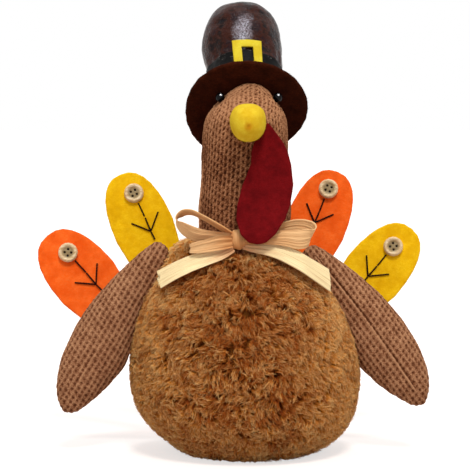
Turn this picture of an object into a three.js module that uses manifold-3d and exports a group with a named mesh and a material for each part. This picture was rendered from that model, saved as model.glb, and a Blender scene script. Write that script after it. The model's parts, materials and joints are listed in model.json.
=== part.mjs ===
// A stuffed turkey figure that sits on a flat base: a ball of fur fabric, a knitted neck and head,
// two stuffed wings, four felt tail feathers, a tied raffia bow and a buckled hat.
// Millimetres, +Z up, the front towards -Y, the origin at the middle of the base.
import * as THREE from 'three';
import { mergeVertices } from 'three/addons/utils/BufferGeometryUtils.js';
import Module from 'manifold-3d';

const wasm = await Module();
wasm.setup();

const quarterTurn = Math.PI / 2;
const radians = THREE.MathUtils.degToRad;

// Clearances
const seatGap = 0.3;
const cutOverrun = 2;

// Body: the ball of fur fabric, flatter behind, with its base and filling
const bodyRadius = 66;
const bodyHeight = 121.5;
const bodyFrontDepth = 62;
const bodyBackDepth = 50;
const backSquareness = 3;
const pileDepth = 7;
const baseRadius = 26;
const baseThickness = 3;
const pelletRadius = 31;
const pelletHeight = 30;
// Radius, height and sideways shift, as shares of the body's radius, height and radius
const bodyProfileShares = [
  [0.424, 0, 0], [0.56, 0.02, 0.03], [0.7, 0.062, 0.05], [0.845, 0.12, 0.04], [0.945, 0.206, 0.015],
  [0.992, 0.313, 0], [1, 0.41, 0], [0.977, 0.52, -0.008], [0.936, 0.621, -0.022],
  [0.845, 0.741, -0.038], [0.755, 0.807, -0.045], [0.667, 0.868, -0.045],
  [0.568, 0.922, -0.038], [0.447, 0.967, -0.015], [0.348, 1, 0],
];
// Radius and height, as shares of the pellet bag's
const pelletShares = [
  [0, 0], [0.73, 0], [0.74, 0.12], [0.85, 0.3], [1, 0.55], [0.95, 0.78], [0.6, 0.95], [0, 1],
];

// Neck and head: one knitted sleeve, gathered at the neck and closed over the crown of the head
const neckRadius = 25;
const neckLength = 98;
const neckTuck = 6.2;
const knitThickness = 2;
const headShift = 2.6;
const gatherShare = 0.81;
const gatherClearance = 1;
// Radius and height above the gathered stretch, as shares of the neck's radius and length
const neckProfileShares = [
  [1.03, 0.19], [1.1, 0.235], [1.05, 0.34], [1.01, 0.48], [1, 0.62],
  [0.98, 0.745], [0.908, 0.81], [0.765, 0.875], [0.575, 0.915], [0.455, 0.945], [0.24, 0.983], [0, 1],
];
// Share of the neck's length below which the sleeve stands straight
const headShiftStartShare = 0.78;
// Share of the neck's length that the rounded top of the head takes up
const domeShare = 0.3;

// Eyes: shanked beads, each held by a washer inside the head
const eyeRadius = 2.8;
const eyeHeightShare = 0.914;
const eyeSpreadShare = 0.692;
const eyeTurn = 80;
const eyeTilt = 48;
const shankRadius = 0.8;
const shankClearance = 0.3;
const shankEnd = 1.1;
const washerRadius = 3;
const washerThickness = 0.8;
const washerSet = 3.1;

// Beak: a stuffed felt cone, its root sunk in the face
const beakRadius = 10.1;
const beakLength = 28;
const beakHeightShare = 0.777;
const beakShift = 1.5;
const beakTuck = 5;
const beakDroop = 3;
const beakUpShare = 1.06;
const beakThickness = 1.5;
// Radius and distance from the root, as shares of the beak's radius and length
const beakProfileShares = [
  [0, 0], [0.98, 0], [1, 0.25], [0.98, 0.45], [0.88, 0.64], [0.68, 0.82], [0.4, 0.95], [0, 1],
];

// Wattle: a flat felt flap, hinged along the stitched edge under the beak
const wattleLength = 68;
const wattleWidth = 31;
const wattleThickness = 2;
const wattleShift = 10.5;
const wattleTuck = 1;
const wattleBeakGap = 0.5;
const wattleKnotGap = 3;
// How late the wattle swings forward on its way down to the knot
const wattleSwingPower = 4.5;
// Drop, left edge and right edge, as shares of the length and of the half width
const wattleShares = [
  [0, 0, 0.05], [0.03, -0.1, 0.17], [0.093, -0.28, 0.38], [0.17, -0.46, 0.62],
  [0.228, -0.54, 0.74], [0.33, -0.56, 0.87], [0.505, -0.86, 0.96], [0.67, -1.06, 0.84],
  [0.784, -1.1, 0.66], [0.908, -0.94, 0.3], [0.974, -0.65, -0.03], [0.988, -0.36, -0.26],
];

// Hat: a felt brim, a stuffed crown, a ribbon band and a felt buckle
const hatHeightShare = 0.851;
const hatBackShare = 0.48;
const hatShift = 1;
const hatTilt = 48.5;
const brimRadius = 35.3;
const brimHole = 15;
const brimThickness = 2;
const brimDroop = 6;
const crownRadius = 22.4;
const crownLength = 71.5;
const crownBend = 35;
const crownShift = -2.2;
const crownThickness = 1.2;
const bandWidth = 24.5;
const bandThickness = 0.6;
const buckleWidth = 17.9;
const buckleHeight = 21;
const buckleBar = 5.7;
const buckleThickness = 2;
const buckleRise = 18;
const buckleShift = 2.4;
const buckleTurn = 3;
// Radius and distance along the crown, as shares of its radius and length
const crownProfileShares = [
  [1, 0], [1.01, 0.12], [1.04, 0.3], [1.06, 0.46], [1.04, 0.6], [0.98, 0.72], [0.9, 0.82],
  [0.75, 0.9], [0.56, 0.955], [0.3, 0.988], [0, 1],
];

// Raffia bow: a tie round the neck, a knot, three loops and two tails of one ribbon
const raffiaWidth = 11;
const raffiaThickness = 0.7;
const tieWidth = 6.4;
const knotShift = -4;
const knotStandOff = 1.35;
const knotHalfWidth = 5.2;
const knotHalfDepth = 4.6;
const knotHalfHeight = 6;
// Each point: right, forward and up from the knot, then width and the turn of the width from
// upright, as shares of the raffia's width and of a quarter turn
const loopLeftUpperShares = [
  [-0.3, -0.05, 0.3, 0.4, 0.6], [-1, 0.05, 0.75, 0.7, 0.75], [-1.7, 0.1, 1.15, 0.9, 0.8],
  [-2.35, 0.1, 1.45, 1, 0.8], [-2.85, 0.05, 1.4, 1, 0.75], [-3.12, 0, 1.02, 1, 0.65],
  [-2.8, -0.02, 0.56, 0.95, 0.5], [-2.1, -0.03, 0.22, 0.8, 0.3], [-1.25, -0.05, 0.16, 0.55, 0.2],
  [-0.3, -0.05, 0.14, 0.36, 0.2],
];
const loopLeftLowerShares = [
  [-0.3, 0.3, -0.05, 0.5, 0], [-0.9, 0.5, -0.08, 0.68, 0], [-1.6, 0.62, -0.18, 0.72, 0.05],
  [-2.15, 0.6, -0.33, 0.6, 0.1], [-2.42, 0.5, -0.38, 0.5, 0.1], [-2.2, 0.36, -0.33, 0.55, 0.1],
  [-1.6, 0.3, -0.2, 0.6, 0.05], [-0.9, 0.22, -0.12, 0.5, 0], [-0.3, 0.12, -0.1, 0.36, 0],
];
const loopRightShares = [
  [0.3, 0.28, 0, 0.45, 0], [0.95, 0.34, 0.1, 0.6, 0], [1.6, 0.38, 0.14, 0.7, 0],
  [2.5, 0.36, 0.15, 0.78, 0.02], [3.35, 0.2, 0.08, 0.85, 0.05], [3.92, -0.15, 0.32, 0.8, 0.1],
  [3.8, -0.5, 0.7, 0.7, 0.15], [3.1, -0.6, 0.72, 0.68, 0.1], [2.2, -0.5, 0.55, 0.6, 0.05],
  [1.3, -0.2, 0.32, 0.5, 0], [0.3, 0.02, 0.15, 0.36, 0],
];
const tailLeftShares = [
  [-0.25, 0.12, -0.44, 0.36, -0.2], [-0.8, 0.28, -0.72, 0.56, -0.35], [-1.5, 0.48, -0.94, 0.85, -0.45],
  [-2.4, 0.62, -1.25, 1, -0.45], [-3.2, 0.52, -1.62, 1.05, -0.4], [-3.95, 0.1, -2.1, 1.02, -0.3],
];
const tailRightShares = [
  [0.25, 0.1, -0.3, 0.36, -0.1], [0.75, 0.16, -0.38, 0.5, -0.2], [1.45, 0.24, -0.42, 0.74, -0.35],
  [2.2, 0.3, -0.6, 0.94, -0.45], [3.15, 0.28, -1.05, 1.1, -0.45], [3.85, 0.05, -1.5, 1.15, -0.4],
  [4.7, -0.5, -2.1, 1.15, -0.3],
];

// Wings: two stuffed knitted leaves, hinged at the shoulder seam
const wingLength = 110.5;
const wingWidth = 19;
const wingDepth = 10.5;
const wingForward = 4;
const wingLining = 2;
const wingSeamRadius = 2.2;
// Distance from the root, outer edge, inner edge and half depth, as shares of the sizes above
const wingShares = [
  [0.0, 0.24, -0.3, 0.42], [0.05, 0.38, -0.44, 0.56], [0.12, 0.53, -0.5, 0.66], [0.2, 0.67, -0.52, 0.77],
  [0.3, 0.82, -0.55, 0.87], [0.42, 0.95, -0.64, 0.96], [0.53, 1, -0.78, 1], [0.62, 0.99, -0.87, 1],
  [0.72, 0.94, -0.81, 0.95], [0.82, 0.8, -0.66, 0.82], [0.91, 0.56, -0.46, 0.6], [0.97, 0.27, -0.28, 0.36],
  [1, 0, 0, 0],
];
// Shoulders out from the middle and up from the base, as shares of the body's radius and height
const wings = [
  { side: 'left', sign: -1, outShare: 0.735, heightShare: 0.98, spread: 30.3 },
  { side: 'right', sign: 1, outShare: 0.564, heightShare: 0.963, spread: 36.6 },
];

// Tail feathers: felt petals that fan out from one point low on the back
const fanShift = -7.5;
const featherLean = 12;
const featherRootDistance = 58;
const featherRootWidth = 14;
const featherReach = 175;
const featherWidth = 39.5;
const featherThickness = 2;
const featherTipLength = 38;
const featherTipSquareness = 2.4;
// Reach as a share of the longest; width, sideways shift, and the button's place down from the tip
// and sideways, as shares of the widest; the vein's stem as a share of the longest
const feathers = [
  { place: 'left_outer', colour: 'orange', turn: -41.5, reachShare: 0.954, widthShare: 1,
    shiftShare: -0.058, dropShare: 0.419, asideShare: 0.07, stemShare: 1 },
  { place: 'left_inner', colour: 'yellow', turn: -24, reachShare: 1, widthShare: 0.937,
    shiftShare: 0.076, dropShare: 0.362, asideShare: 0.078, stemShare: 0.99 },
  { place: 'right_inner', colour: 'orange', turn: 22.5, reachShare: 1, widthShare: 0.937,
    shiftShare: -0.066, dropShare: 0.308, asideShare: -0.032, stemShare: 0.83 },
  { place: 'right_outer', colour: 'yellow', turn: 40.5, reachShare: 0.96, widthShare: 0.95,
    shiftShare: 0.008, dropShare: 0.404, asideShare: -0.038, stemShare: 0.9 },
];

// Buttons and stitched veins on the feathers
const buttonRadius = 5.75;
const buttonThickness = 3.4;
const buttonDish = 1;
const buttonRim = 1.5;
const buttonHoleRadius = 0.75;
const buttonHoleSpacing = 1.35;
const veinWidth = 1;
const veinDepth = 0.8;
const veinGap = 0.5;
const veinStem = 19.5;
const veinTail = 5.5;
const veinBarb = 12.5;
const veinBarbAngle = 44;

// Mesh tools

const weldDistance = seatGap / 1000;

function closed(geometry) {
  geometry.deleteAttribute('normal');
  geometry.deleteAttribute('uv');
  const merged = mergeVertices(geometry, weldDistance);
  const place = merged.attributes.position;
  const index = merged.index.array;
  let volume = 0;
  const corners = [new THREE.Vector3(), new THREE.Vector3(), new THREE.Vector3()];
  const kept = [];
  for (let i = 0; i < index.length; i += 3) {
    if (index[i] === index[i + 1] || index[i + 1] === index[i + 2] || index[i] === index[i + 2]) {
      continue;
    }
    kept.push(index[i], index[i + 1], index[i + 2]);
    corners.forEach((corner, k) => corner.fromBufferAttribute(place, index[i + k]));
    volume += corners[0].dot(corners[1].clone().cross(corners[2]));
  }
  if (volume < 0) {
    kept.reverse();
  }
  merged.setIndex(kept);
  return merged;
}

function solid(geometry) {
  const ready = closed(geometry.clone());
  return new wasm.Manifold(new wasm.Mesh({
    numProp: 3,
    vertProperties: new Float32Array(ready.attributes.position.array),
    triVerts: new Uint32Array(ready.index.array),
  }));
}

function unsolid(body) {
  const mesh = body.getMesh();
  const geometry = new THREE.BufferGeometry();
  geometry.setAttribute('position', new THREE.BufferAttribute(new Float32Array(mesh.vertProperties), 3));
  geometry.setIndex(Array.from(mesh.triVerts));
  return geometry;
}

function cut(geometry, ...cutters) {
  return unsolid(cutters.reduce((left, cutter) => left.subtract(solid(cutter)), solid(geometry)));
}

function joined(...parts) {
  return unsolid(parts.map(solid).reduce((left, right) => left.add(right)));
}

// Skin through a row of rings, each a list of points; a ring of one point is a tip
function loft(rings) {
  const positions = [];
  const index = [];
  const starts = [];
  const rows = [...rings];
  const middle = (ring) => ring.reduce((sum, point) => sum.add(point), new THREE.Vector3())
    .divideScalar(ring.length);
  if (rows[0].length > 1) {
    rows.unshift([middle(rows[0])]);
  }
  if (rows[rows.length - 1].length > 1) {
    rows.push([middle(rows[rows.length - 1])]);
  }
  for (const row of rows) {
    starts.push(positions.length / 3);
    row.forEach((point) => positions.push(point.x, point.y, point.z));
  }
  for (let r = 0; r + 1 < rows.length; r += 1) {
    const low = rows[r];
    const high = rows[r + 1];
    const count = Math.max(low.length, high.length);
    for (let i = 0; i < count; i += 1) {
      const next = (i + 1) % count;
      const a = starts[r] + (low.length > 1 ? i : 0);
      const b = starts[r] + (low.length > 1 ? next : 0);
      const c = starts[r + 1] + (high.length > 1 ? next : 0);
      const d = starts[r + 1] + (high.length > 1 ? i : 0);
      if (low.length > 1) {
        index.push(a, b, c);
      }
      if (high.length > 1) {
        index.push(a, c, d);
      }
    }
  }
  const geometry = new THREE.BufferGeometry();
  geometry.setAttribute('position', new THREE.BufferAttribute(new Float32Array(positions), 3));
  geometry.setIndex(index);
  return closed(geometry);
}

// Round piece about +Z from pairs of radius and height
function turned(profile, segments) {
  const points = profile.map(([radius, height]) => new THREE.Vector2(radius, height));
  return closed(new THREE.LatheGeometry(points, segments).rotateX(quarterTurn));
}

function disc(radius, low, high, segments) {
  return turned([[0, low], [radius, low], [radius, high], [0, high]], segments);
}

function between(pairs, key, value, at) {
  const upper = pairs.findIndex((row) => row[key] >= at);
  if (upper <= 0) {
    return pairs[upper === 0 ? 0 : pairs.length - 1][value];
  }
  const [a, b] = [pairs[upper - 1], pairs[upper]];
  return a[value] + ((b[value] - a[value]) * (at - a[key])) / (b[key] - a[key]);
}

// Finishes
const finishes = {
  fur: [0x9b6433, 1], knit: [0x94603f, 0.95], orange: [0xf46426, 0.95], yellow: [0xecb41c, 0.95],
  beak: [0xe3c63a, 0.95], wattle: [0x741014, 0.95], brim: [0x32150b, 0.95], crown: [0x3b2926, 0.4],
  band: [0x16120f, 0.5], buckle: [0xf0df3c, 0.95], raffia: [0xf0d3a0, 0.8], bead: [0x050505, 0.1],
  button: [0xc9a06c, 0.6], thread: [0x2a0d06, 0.9], filling: [0xf2f0ea, 1], board: [0x8a6a48, 0.9],
};
const materials = Object.fromEntries(Object.entries(finishes).map(([name, [color, roughness]]) => [
  name, new THREE.MeshStandardMaterial({ color, roughness, metalness: 0 }),
]));

const figure = new THREE.Group();

function add(name, geometry, material, parent = figure) {
  const mesh = new THREE.Mesh(geometry, materials[material]);
  mesh.name = name;
  parent.add(mesh);
  return mesh;
}

// Body

const bodySegments = 28;

function bodySkin(offset, segments = bodySegments) {
  const growth = (bodyRadius + offset) / bodyRadius;
  const middle = bodyHeight / 2;
  return loft(bodyProfileShares.map(([radiusShare, heightShare, shiftShare]) => {
    const radius = radiusShare * bodyRadius * growth;
    const height = middle + (heightShare * bodyHeight - middle) * growth;
    return Array.from({ length: segments }, (_, i) => {
      const angle = (i / segments) * 2 * Math.PI;
      const [c, s] = [Math.cos(angle), Math.sin(angle)];
      const power = s > 0 ? 2 / backSquareness : 1;
      const depth = s > 0 ? bodyBackDepth : bodyFrontDepth;
      const across = Math.sign(c) * Math.abs(c) ** power;
      const along = Math.sign(s) * Math.abs(s) ** power;
      return new THREE.Vector3(
        shiftShare * bodyRadius + radius * across, (radius * along * depth) / bodyRadius, height);
    });
  }));
}

function bodyBackAt(x, height) {
  const share = height / bodyHeight;
  const radius = between(bodyProfileShares, 1, 0, share) * bodyRadius;
  const across = Math.min(1, Math.abs(x - between(bodyProfileShares, 1, 2, share) * bodyRadius) / radius);
  return (radius * bodyBackDepth / bodyRadius) * (1 - across ** backSquareness) ** (1 / backSquareness);
}

const neckBottom = bodyHeight - neckTuck;
const neckTieRadius = gatherShare * neckRadius;
const neckOpening = disc(neckTieRadius + seatGap, bodyHeight / 2, bodyHeight + cutOverrun, 20);

function pelletBag(offset) {
  return turned(pelletShares.map(([radius, height]) => [
    radius === 0 ? 0 : radius * pelletRadius + offset,
    baseThickness + seatGap - offset + height * (pelletHeight + 2 * offset),
  ]), 14);
}

function buildBody() {
  add('base_panel', disc(baseRadius, 0, baseThickness, 24), 'board');
  add('pellet_bag', pelletBag(0), 'filling');
  const baseOpening = disc(baseRadius + seatGap, -cutOverrun, pileDepth + cutOverrun, 24);
  add('body_cover', cut(bodySkin(0), bodySkin(-pileDepth, 18), baseOpening, neckOpening), 'fur');
  add('body_stuffing', cut(bodySkin(-pileDepth - 2 * seatGap, 18), pelletBag(seatGap)), 'filling');
}

// Neck, head and eyes

function headLean(height) {
  const share = (height - neckBottom) / neckLength;
  const rise = THREE.MathUtils.clamp((share - headShiftStartShare) / (1 - headShiftStartShare), 0, 1);
  return headShift * rise * (2 - rise);
}

const tieBottom = bodyHeight + 2 * seatGap;
const tieTop = tieBottom + tieWidth;

function sleeve(offset, bottom, segments) {
  const profile = neckProfileShares.slice(0, -1).map(([radiusShare, heightShare]) => [
    Math.max(radiusShare * neckRadius + offset, knitThickness / 2),
    neckBottom + heightShare * neckLength + offset * Math.max(0, 1 - (1 - heightShare) / domeShare),
  ]);
  const gathered = neckTieRadius + offset;
  const tip = [0, neckBottom + neckLength + offset];
  const gather = [[0, bottom], [gathered, bottom], [gathered, tieTop + gatherClearance]];
  const skin = turned([...gather, ...profile, tip], segments);
  const place = skin.attributes.position;
  for (let i = 0; i < place.count; i += 1) {
    place.setX(i, place.getX(i) + headLean(place.getZ(i)));
  }
  return skin;
}

const eyeHeight = neckBottom + eyeHeightShare * neckLength;
const eyeSpread = eyeSpreadShare * neckRadius;
const washerDepth = knitThickness + washerSet;
const shankLength = washerDepth + washerThickness + shankEnd;
const eyes = [-1, 1].map((sign) => {
  const turn = radians(eyeTurn);
  const tilt = radians(eyeTilt);
  const outward = new THREE.Vector3(
    sign * Math.sin(turn) * Math.cos(tilt), -Math.cos(turn) * Math.cos(tilt), Math.sin(tilt));
  const centre = new THREE.Vector3(
    sign * Math.sin(turn) * eyeSpread + headLean(eyeHeight), -Math.cos(turn) * eyeSpread, eyeHeight);
  return { side: sign < 0 ? 'left' : 'right', outward, centre };
});

function alongEye(geometry, eye) {
  const turn = new THREE.Quaternion().setFromUnitVectors(new THREE.Vector3(0, 0, 1), eye.outward);
  return geometry.applyQuaternion(turn).translate(...eye.centre.toArray());
}

const eyeBead = (radius) => new THREE.SphereGeometry(radius, 12, 8);
const eyeShank = (radius) => disc(radius, -shankLength - (radius - shankRadius), 0, 6);
const eyeWasher = (offset) => disc(washerRadius + offset, -washerDepth - washerThickness - offset,
  -washerDepth + offset, 10);

function buildNeck() {
  const holes = eyes.flatMap((eye) => [
    alongEye(eyeBead(eyeRadius + seatGap), eye),
    alongEye(eyeShank(shankRadius + shankClearance), eye),
  ]);
  const inside = sleeve(-knitThickness, neckBottom - cutOverrun, 16);
  const washers = eyes.map((eye) => alongEye(eyeWasher(seatGap), eye));
  add('neck_cover', cut(sleeve(0, neckBottom, 22), inside, ...holes), 'knit');
  const filling = sleeve(-knitThickness - seatGap, neckBottom, 16);
  add('neck_stuffing', cut(filling, ...holes, ...washers), 'filling');
  for (const eye of eyes) {
    add(`eye_${eye.side}`, alongEye(joined(eyeBead(eyeRadius), eyeShank(shankRadius)), eye), 'bead');
    const washer = cut(eyeWasher(0), eyeShank(shankRadius + shankClearance));
    add(`eye_washer_${eye.side}`, alongEye(washer, eye), 'bead');
  }
}

const headCutter = sleeve(1.5 * seatGap, neckBottom, 22);

// Beak and wattle

const beakHeight = neckBottom + beakHeightShare * neckLength;
const beakRoot = neckRadius - beakTuck;
const knotForward = neckTieRadius + seatGap + raffiaThickness + knotStandOff + knotHalfDepth;
const knotHeight = (tieBottom + tieTop) / 2;
const wattleTop = beakHeight - wattleTuck;
const wattleBack = neckRadius + seatGap;
const wattleForward = knotForward + knotHalfDepth + wattleKnotGap - wattleBack;

function beakSkin(offset, start) {
  return turned(beakProfileShares.map(([radius, distance]) => [
    radius === 0 ? 0 : Math.max(radius * beakRadius + offset, beakThickness / 2),
    distance === 0 ? start : distance * beakLength + offset * distance,
  ]), 16).rotateX(quarterTurn + radians(beakDroop)).scale(1, 1, beakUpShare)
    .translate(beakShift, -beakRoot, beakHeight);
}

function buildBeak() {
  add('beak_cover', cut(beakSkin(0, 0), beakSkin(-beakThickness, -cutOverrun), headCutter), 'beak');
  add('beak_stuffing', cut(beakSkin(-beakThickness - seatGap, 0), headCutter), 'filling');
}

function wattleOutline() {
  const knotTop = knotHeight + knotHalfHeight;
  return wattleShares.map(([drop, left, right]) => {
    const height = wattleTop - drop * wattleLength;
    const fall = Math.min(1, (wattleTop - height) / (wattleTop - knotTop));
    const back = -wattleBack - wattleForward * fall ** wattleSwingPower;
    const middle = beakShift + wattleShift;
    const edges = [left, right].map((share) => middle + (share * wattleWidth) / 2);
    return [
      new THREE.Vector3(edges[0], back - wattleThickness, height),
      new THREE.Vector3(edges[1], back - wattleThickness, height),
      new THREE.Vector3(edges[1], back, height),
      new THREE.Vector3(edges[0], back, height),
    ];
  });
}

function buildWattle() {
  const clear = [beakSkin(wattleBeakGap, 0), headCutter];
  add('wattle', cut(loft(wattleOutline()), ...clear), 'wattle');
}

// Hat

const hat = new THREE.Group();
hat.position.set(hatShift, hatBackShare * neckRadius, neckBottom + hatHeightShare * neckLength);
hat.rotation.x = -radians(hatTilt);
figure.add(hat);
hat.updateMatrixWorld(true);
const headInHat = headCutter.clone().applyMatrix4(hat.matrixWorld.clone().invert());

function buildBrim() {
  const half = brimThickness / 2;
  const edge = half / 2;
  const flat = turned([
    [brimHole, -half], [(brimHole + brimRadius) / 2, -half], [brimRadius - edge, -half],
    [brimRadius, 0], [brimRadius - edge, half], [(brimHole + brimRadius) / 2, half], [brimHole, half],
    [brimHole, -half],
  ], 28);
  const place = flat.attributes.position;
  for (let i = 0; i < place.count; i += 1) {
    const [x, y] = [place.getX(i), place.getY(i)];
    const out = (Math.hypot(x, y) - brimHole) / (brimRadius - brimHole);
    const lowSide = Math.max(0, (y - x) / (Math.SQRT2 * brimRadius));
    place.setZ(i, place.getZ(i) - brimDroop * out * out * lowSide * lowSide);
  }
  add('brim', cut(flat, headInHat), 'brim', hat);
}

const crownStart = brimThickness / 2 + seatGap;

// Point on the bent crown, at a distance along it, a distance out from its axis and an angle
function crownPoint(along, out, angle) {
  const bend = radians(crownBend) * (along / crownLength);
  const curve = crownLength / radians(crownBend);
  const back = out * Math.sin(angle);
  return new THREE.Vector3(
    crownShift + out * Math.cos(angle),
    -curve * (1 - Math.cos(bend)) + back * Math.cos(bend),
    crownStart + curve * Math.sin(bend) + back * Math.sin(bend));
}

function crownRing(along, out, segments) {
  return Array.from({ length: segments }, (_, i) => crownPoint(along, out, (i / segments) * 2 * Math.PI));
}

function crownRadiusAt(along) {
  return between(crownProfileShares, 1, 0, along / crownLength) * crownRadius;
}

function crownSkin(lift, from, segments) {
  const rings = crownProfileShares.slice(1, -1).map(([radiusShare, share]) => (
    crownRing(share * (crownLength + lift), radiusShare * crownRadius + lift, segments)));
  const base = crownRing(from, crownRadius + lift, segments);
  return loft([base, ...rings, [crownPoint(crownLength + lift, 0, 0)]]);
}

function crownSleeve(low, high, lift, segments) {
  const stations = [0, 1 / 3, 2 / 3, 1].map((share) => low + (high - low) * share);
  return loft(stations.map((along) => crownRing(along, crownRadiusAt(along) + lift, segments)));
}

function buckleFrame() {
  const outline = new THREE.Shape();
  const window = new THREE.Path();
  const draw = (path, halfWidth, halfHeight) => {
    path.moveTo(-halfWidth, -halfHeight);
    path.lineTo(halfWidth, -halfHeight);
    path.lineTo(halfWidth, halfHeight);
    path.lineTo(-halfWidth, halfHeight);
    path.closePath();
  };
  draw(outline, buckleWidth / 2, buckleHeight / 2);
  draw(window, buckleWidth / 2 - buckleBar, buckleHeight / 2 - buckleBar);
  outline.holes.push(window);
  const depth = crownRadius;
  const frame = new THREE.ExtrudeGeometry(outline, { depth, bevelEnabled: false });
  const bend = radians(crownBend) * (buckleRise / crownLength);
  const seat = crownPoint(buckleRise, crownRadiusAt(buckleRise), -quarterTurn);
  return frame.translate(0, 0, -depth / 2).rotateZ(radians(buckleTurn)).rotateX(quarterTurn + bend)
    .translate(seat.x + buckleShift, seat.y, seat.z);
}

function buildHat() {
  buildBrim();
  const inside = crownSkin(-crownThickness, -cutOverrun, 16);
  add('crown_cover', cut(crownSkin(0, 0, 22), inside), 'crown', hat);
  add('crown_stuffing', cut(crownSkin(-crownThickness - 2 * seatGap, 0, 16), headInHat), 'filling', hat);
  const bandInside = crownSleeve(-cutOverrun, bandWidth + cutOverrun, seatGap, 22);
  add('hat_band', cut(crownSleeve(0, bandWidth, seatGap + bandThickness, 22), bandInside), 'band', hat);
  const buckleLow = 2 * seatGap + bandThickness;
  const reach = buckleRise + buckleHeight;
  const plate = cut(crownSleeve(0, reach, buckleLow + buckleThickness, 22),
    crownSleeve(-cutOverrun, reach + cutOverrun, buckleLow, 22));
  add('buckle', unsolid(solid(plate).intersect(solid(buckleFrame()))), 'buckle', hat);
}

// Raffia bow

const knotPlace = new THREE.Vector3(knotShift, -knotForward, knotHeight);

function ribbon(shares) {
  const points = shares.map(([right, forward, up]) => new THREE.Vector3(right, -forward, up)
    .multiplyScalar(raffiaWidth).add(knotPlace));
  const rings = points.map((point, i) => {
    const before = points[Math.max(i - 1, 0)];
    const after = points[Math.min(i + 1, points.length - 1)];
    const along = after.clone().sub(before).normalize();
    const turn = shares[i][4] * quarterTurn;
    const across = new THREE.Vector3(0, -Math.sin(turn), Math.cos(turn));
    across.addScaledVector(along, -across.dot(along)).normalize();
    const face = along.clone().cross(across);
    const halfWidth = (shares[i][3] * raffiaWidth) / 2;
    return [[1, 1], [-1, 1], [-1, -1], [1, -1]].map(([w, t]) => point.clone()
      .addScaledVector(across, w * halfWidth).addScaledVector(face, (t * raffiaThickness) / 2));
  });
  return loft(rings);
}

function knotSkin(offset) {
  return new THREE.SphereGeometry(1, 14, 10)
    .scale(knotHalfWidth + offset, knotHalfDepth + offset, knotHalfHeight + offset)
    .translate(...knotPlace.toArray());
}

function buildBow() {
  const tieInner = neckTieRadius + seatGap;
  const tieOuter = tieInner + raffiaThickness;
  add('neck_tie', turned([
    [tieInner, tieBottom], [tieOuter, tieBottom], [tieOuter, tieTop], [tieInner, tieTop],
    [tieInner, tieBottom],
  ], 28), 'raffia');
  const clearBody = bodySkin(seatGap);
  const clearTie = disc(tieOuter + seatGap, tieBottom - seatGap, tieTop + seatGap, 28);
  add('bow_knot', cut(knotSkin(0), clearBody, clearTie), 'raffia');
  const clear = [knotSkin(seatGap), clearBody, clearTie, headCutter];
  const strands = {
    bow_loop_left_upper: loopLeftUpperShares,
    bow_loop_left_lower: loopLeftLowerShares,
    bow_loop_right: loopRightShares,
    bow_tail_left: tailLeftShares,
    bow_tail_right: tailRightShares,
  };
  for (const [name, shares] of Object.entries(strands)) {
    add(name, cut(ribbon(shares), ...clear), 'raffia');
  }
}

// Wings

const wingRoot = (wing) => new THREE.Vector3(
  wing.sign * wing.outShare * bodyRadius, -wingForward, wing.heightShare * bodyHeight);

function wingSkin(wing, offset, segments) {
  const spread = radians(wing.spread);
  const along = new THREE.Vector3(wing.sign * Math.sin(spread), 0, -Math.cos(spread));
  const across = new THREE.Vector3(wing.sign * Math.cos(spread), 0, Math.sin(spread));
  const rings = wingShares.map(([distance, outer, inner, depth]) => {
    const centre = wingRoot(wing)
      .addScaledVector(along, distance * wingLength + offset * (2 * distance - 1))
      .addScaledVector(across, ((outer + inner) / 2) * wingWidth);
    if (depth === 0) {
      return [centre];
    }
    const halfWidth = ((outer - inner) / 2) * wingWidth + offset;
    const halfDepth = depth * wingDepth + offset;
    return Array.from({ length: segments }, (_, i) => {
      const angle = (i / segments) * 2 * Math.PI;
      return centre.clone().addScaledVector(across, halfWidth * Math.cos(angle))
        .add(new THREE.Vector3(0, halfDepth * Math.sin(angle), 0));
    });
  });
  const blunt = rings[0].reduce((sum, point) => sum.add(point), new THREE.Vector3())
    .divideScalar(rings[0].length).addScaledVector(along, -wingShares[0][3] * wingDepth / 2);
  return loft([[blunt], ...rings]);
}

function wingSeam(wing) {
  const spread = radians(wing.spread);
  const reach = 2 * wingDepth;
  return disc(wingSeamRadius, -reach / 2, reach / 2, 8)
    .rotateY(-wing.sign * spread).translate(...wingRoot(wing).toArray());
}

function buildWings() {
  const clearBody = bodySkin(seatGap);
  const clearLining = bodySkin(seatGap + wingLining);
  for (const wing of wings) {
    const inside = cut(wingSkin(wing, -wingLining, 10), clearLining);
    const cover = cut(wingSkin(wing, 0, 14), clearBody, inside, wingSeam(wing));
    add(`wing_cover_${wing.side}`, cover, 'knit');
    const filling = cut(wingSkin(wing, -wingLining - seatGap, 10), bodySkin(2 * seatGap + wingLining));
    add(`wing_stuffing_${wing.side}`, filling, 'filling');
  }
}

// Tail feathers with their buttons and stitched veins

function featherShape(feather) {
  const halfWidth = (feather.widthShare * featherWidth) / 2;
  const straight = feather.reachShare * featherReach - featherTipLength;
  const rootHalf = featherRootWidth / 2;
  const shape = new THREE.Shape();
  const steps = 7;
  const curve = (step) => {
    const angle = (step / steps) * quarterTurn;
    return [
      halfWidth * Math.cos(angle) ** (2 / featherTipSquareness),
      straight + featherTipLength * Math.sin(angle) ** (2 / featherTipSquareness),
    ];
  };
  shape.moveTo(-rootHalf, featherRootDistance);
  shape.lineTo(rootHalf, featherRootDistance);
  for (let step = 0; step <= steps; step += 1) {
    shape.lineTo(...curve(step));
  }
  for (let step = steps - 1; step >= 0; step -= 1) {
    const [x, y] = curve(step);
    shape.lineTo(-x, y);
  }
  shape.closePath();
  return shape;
}

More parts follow.
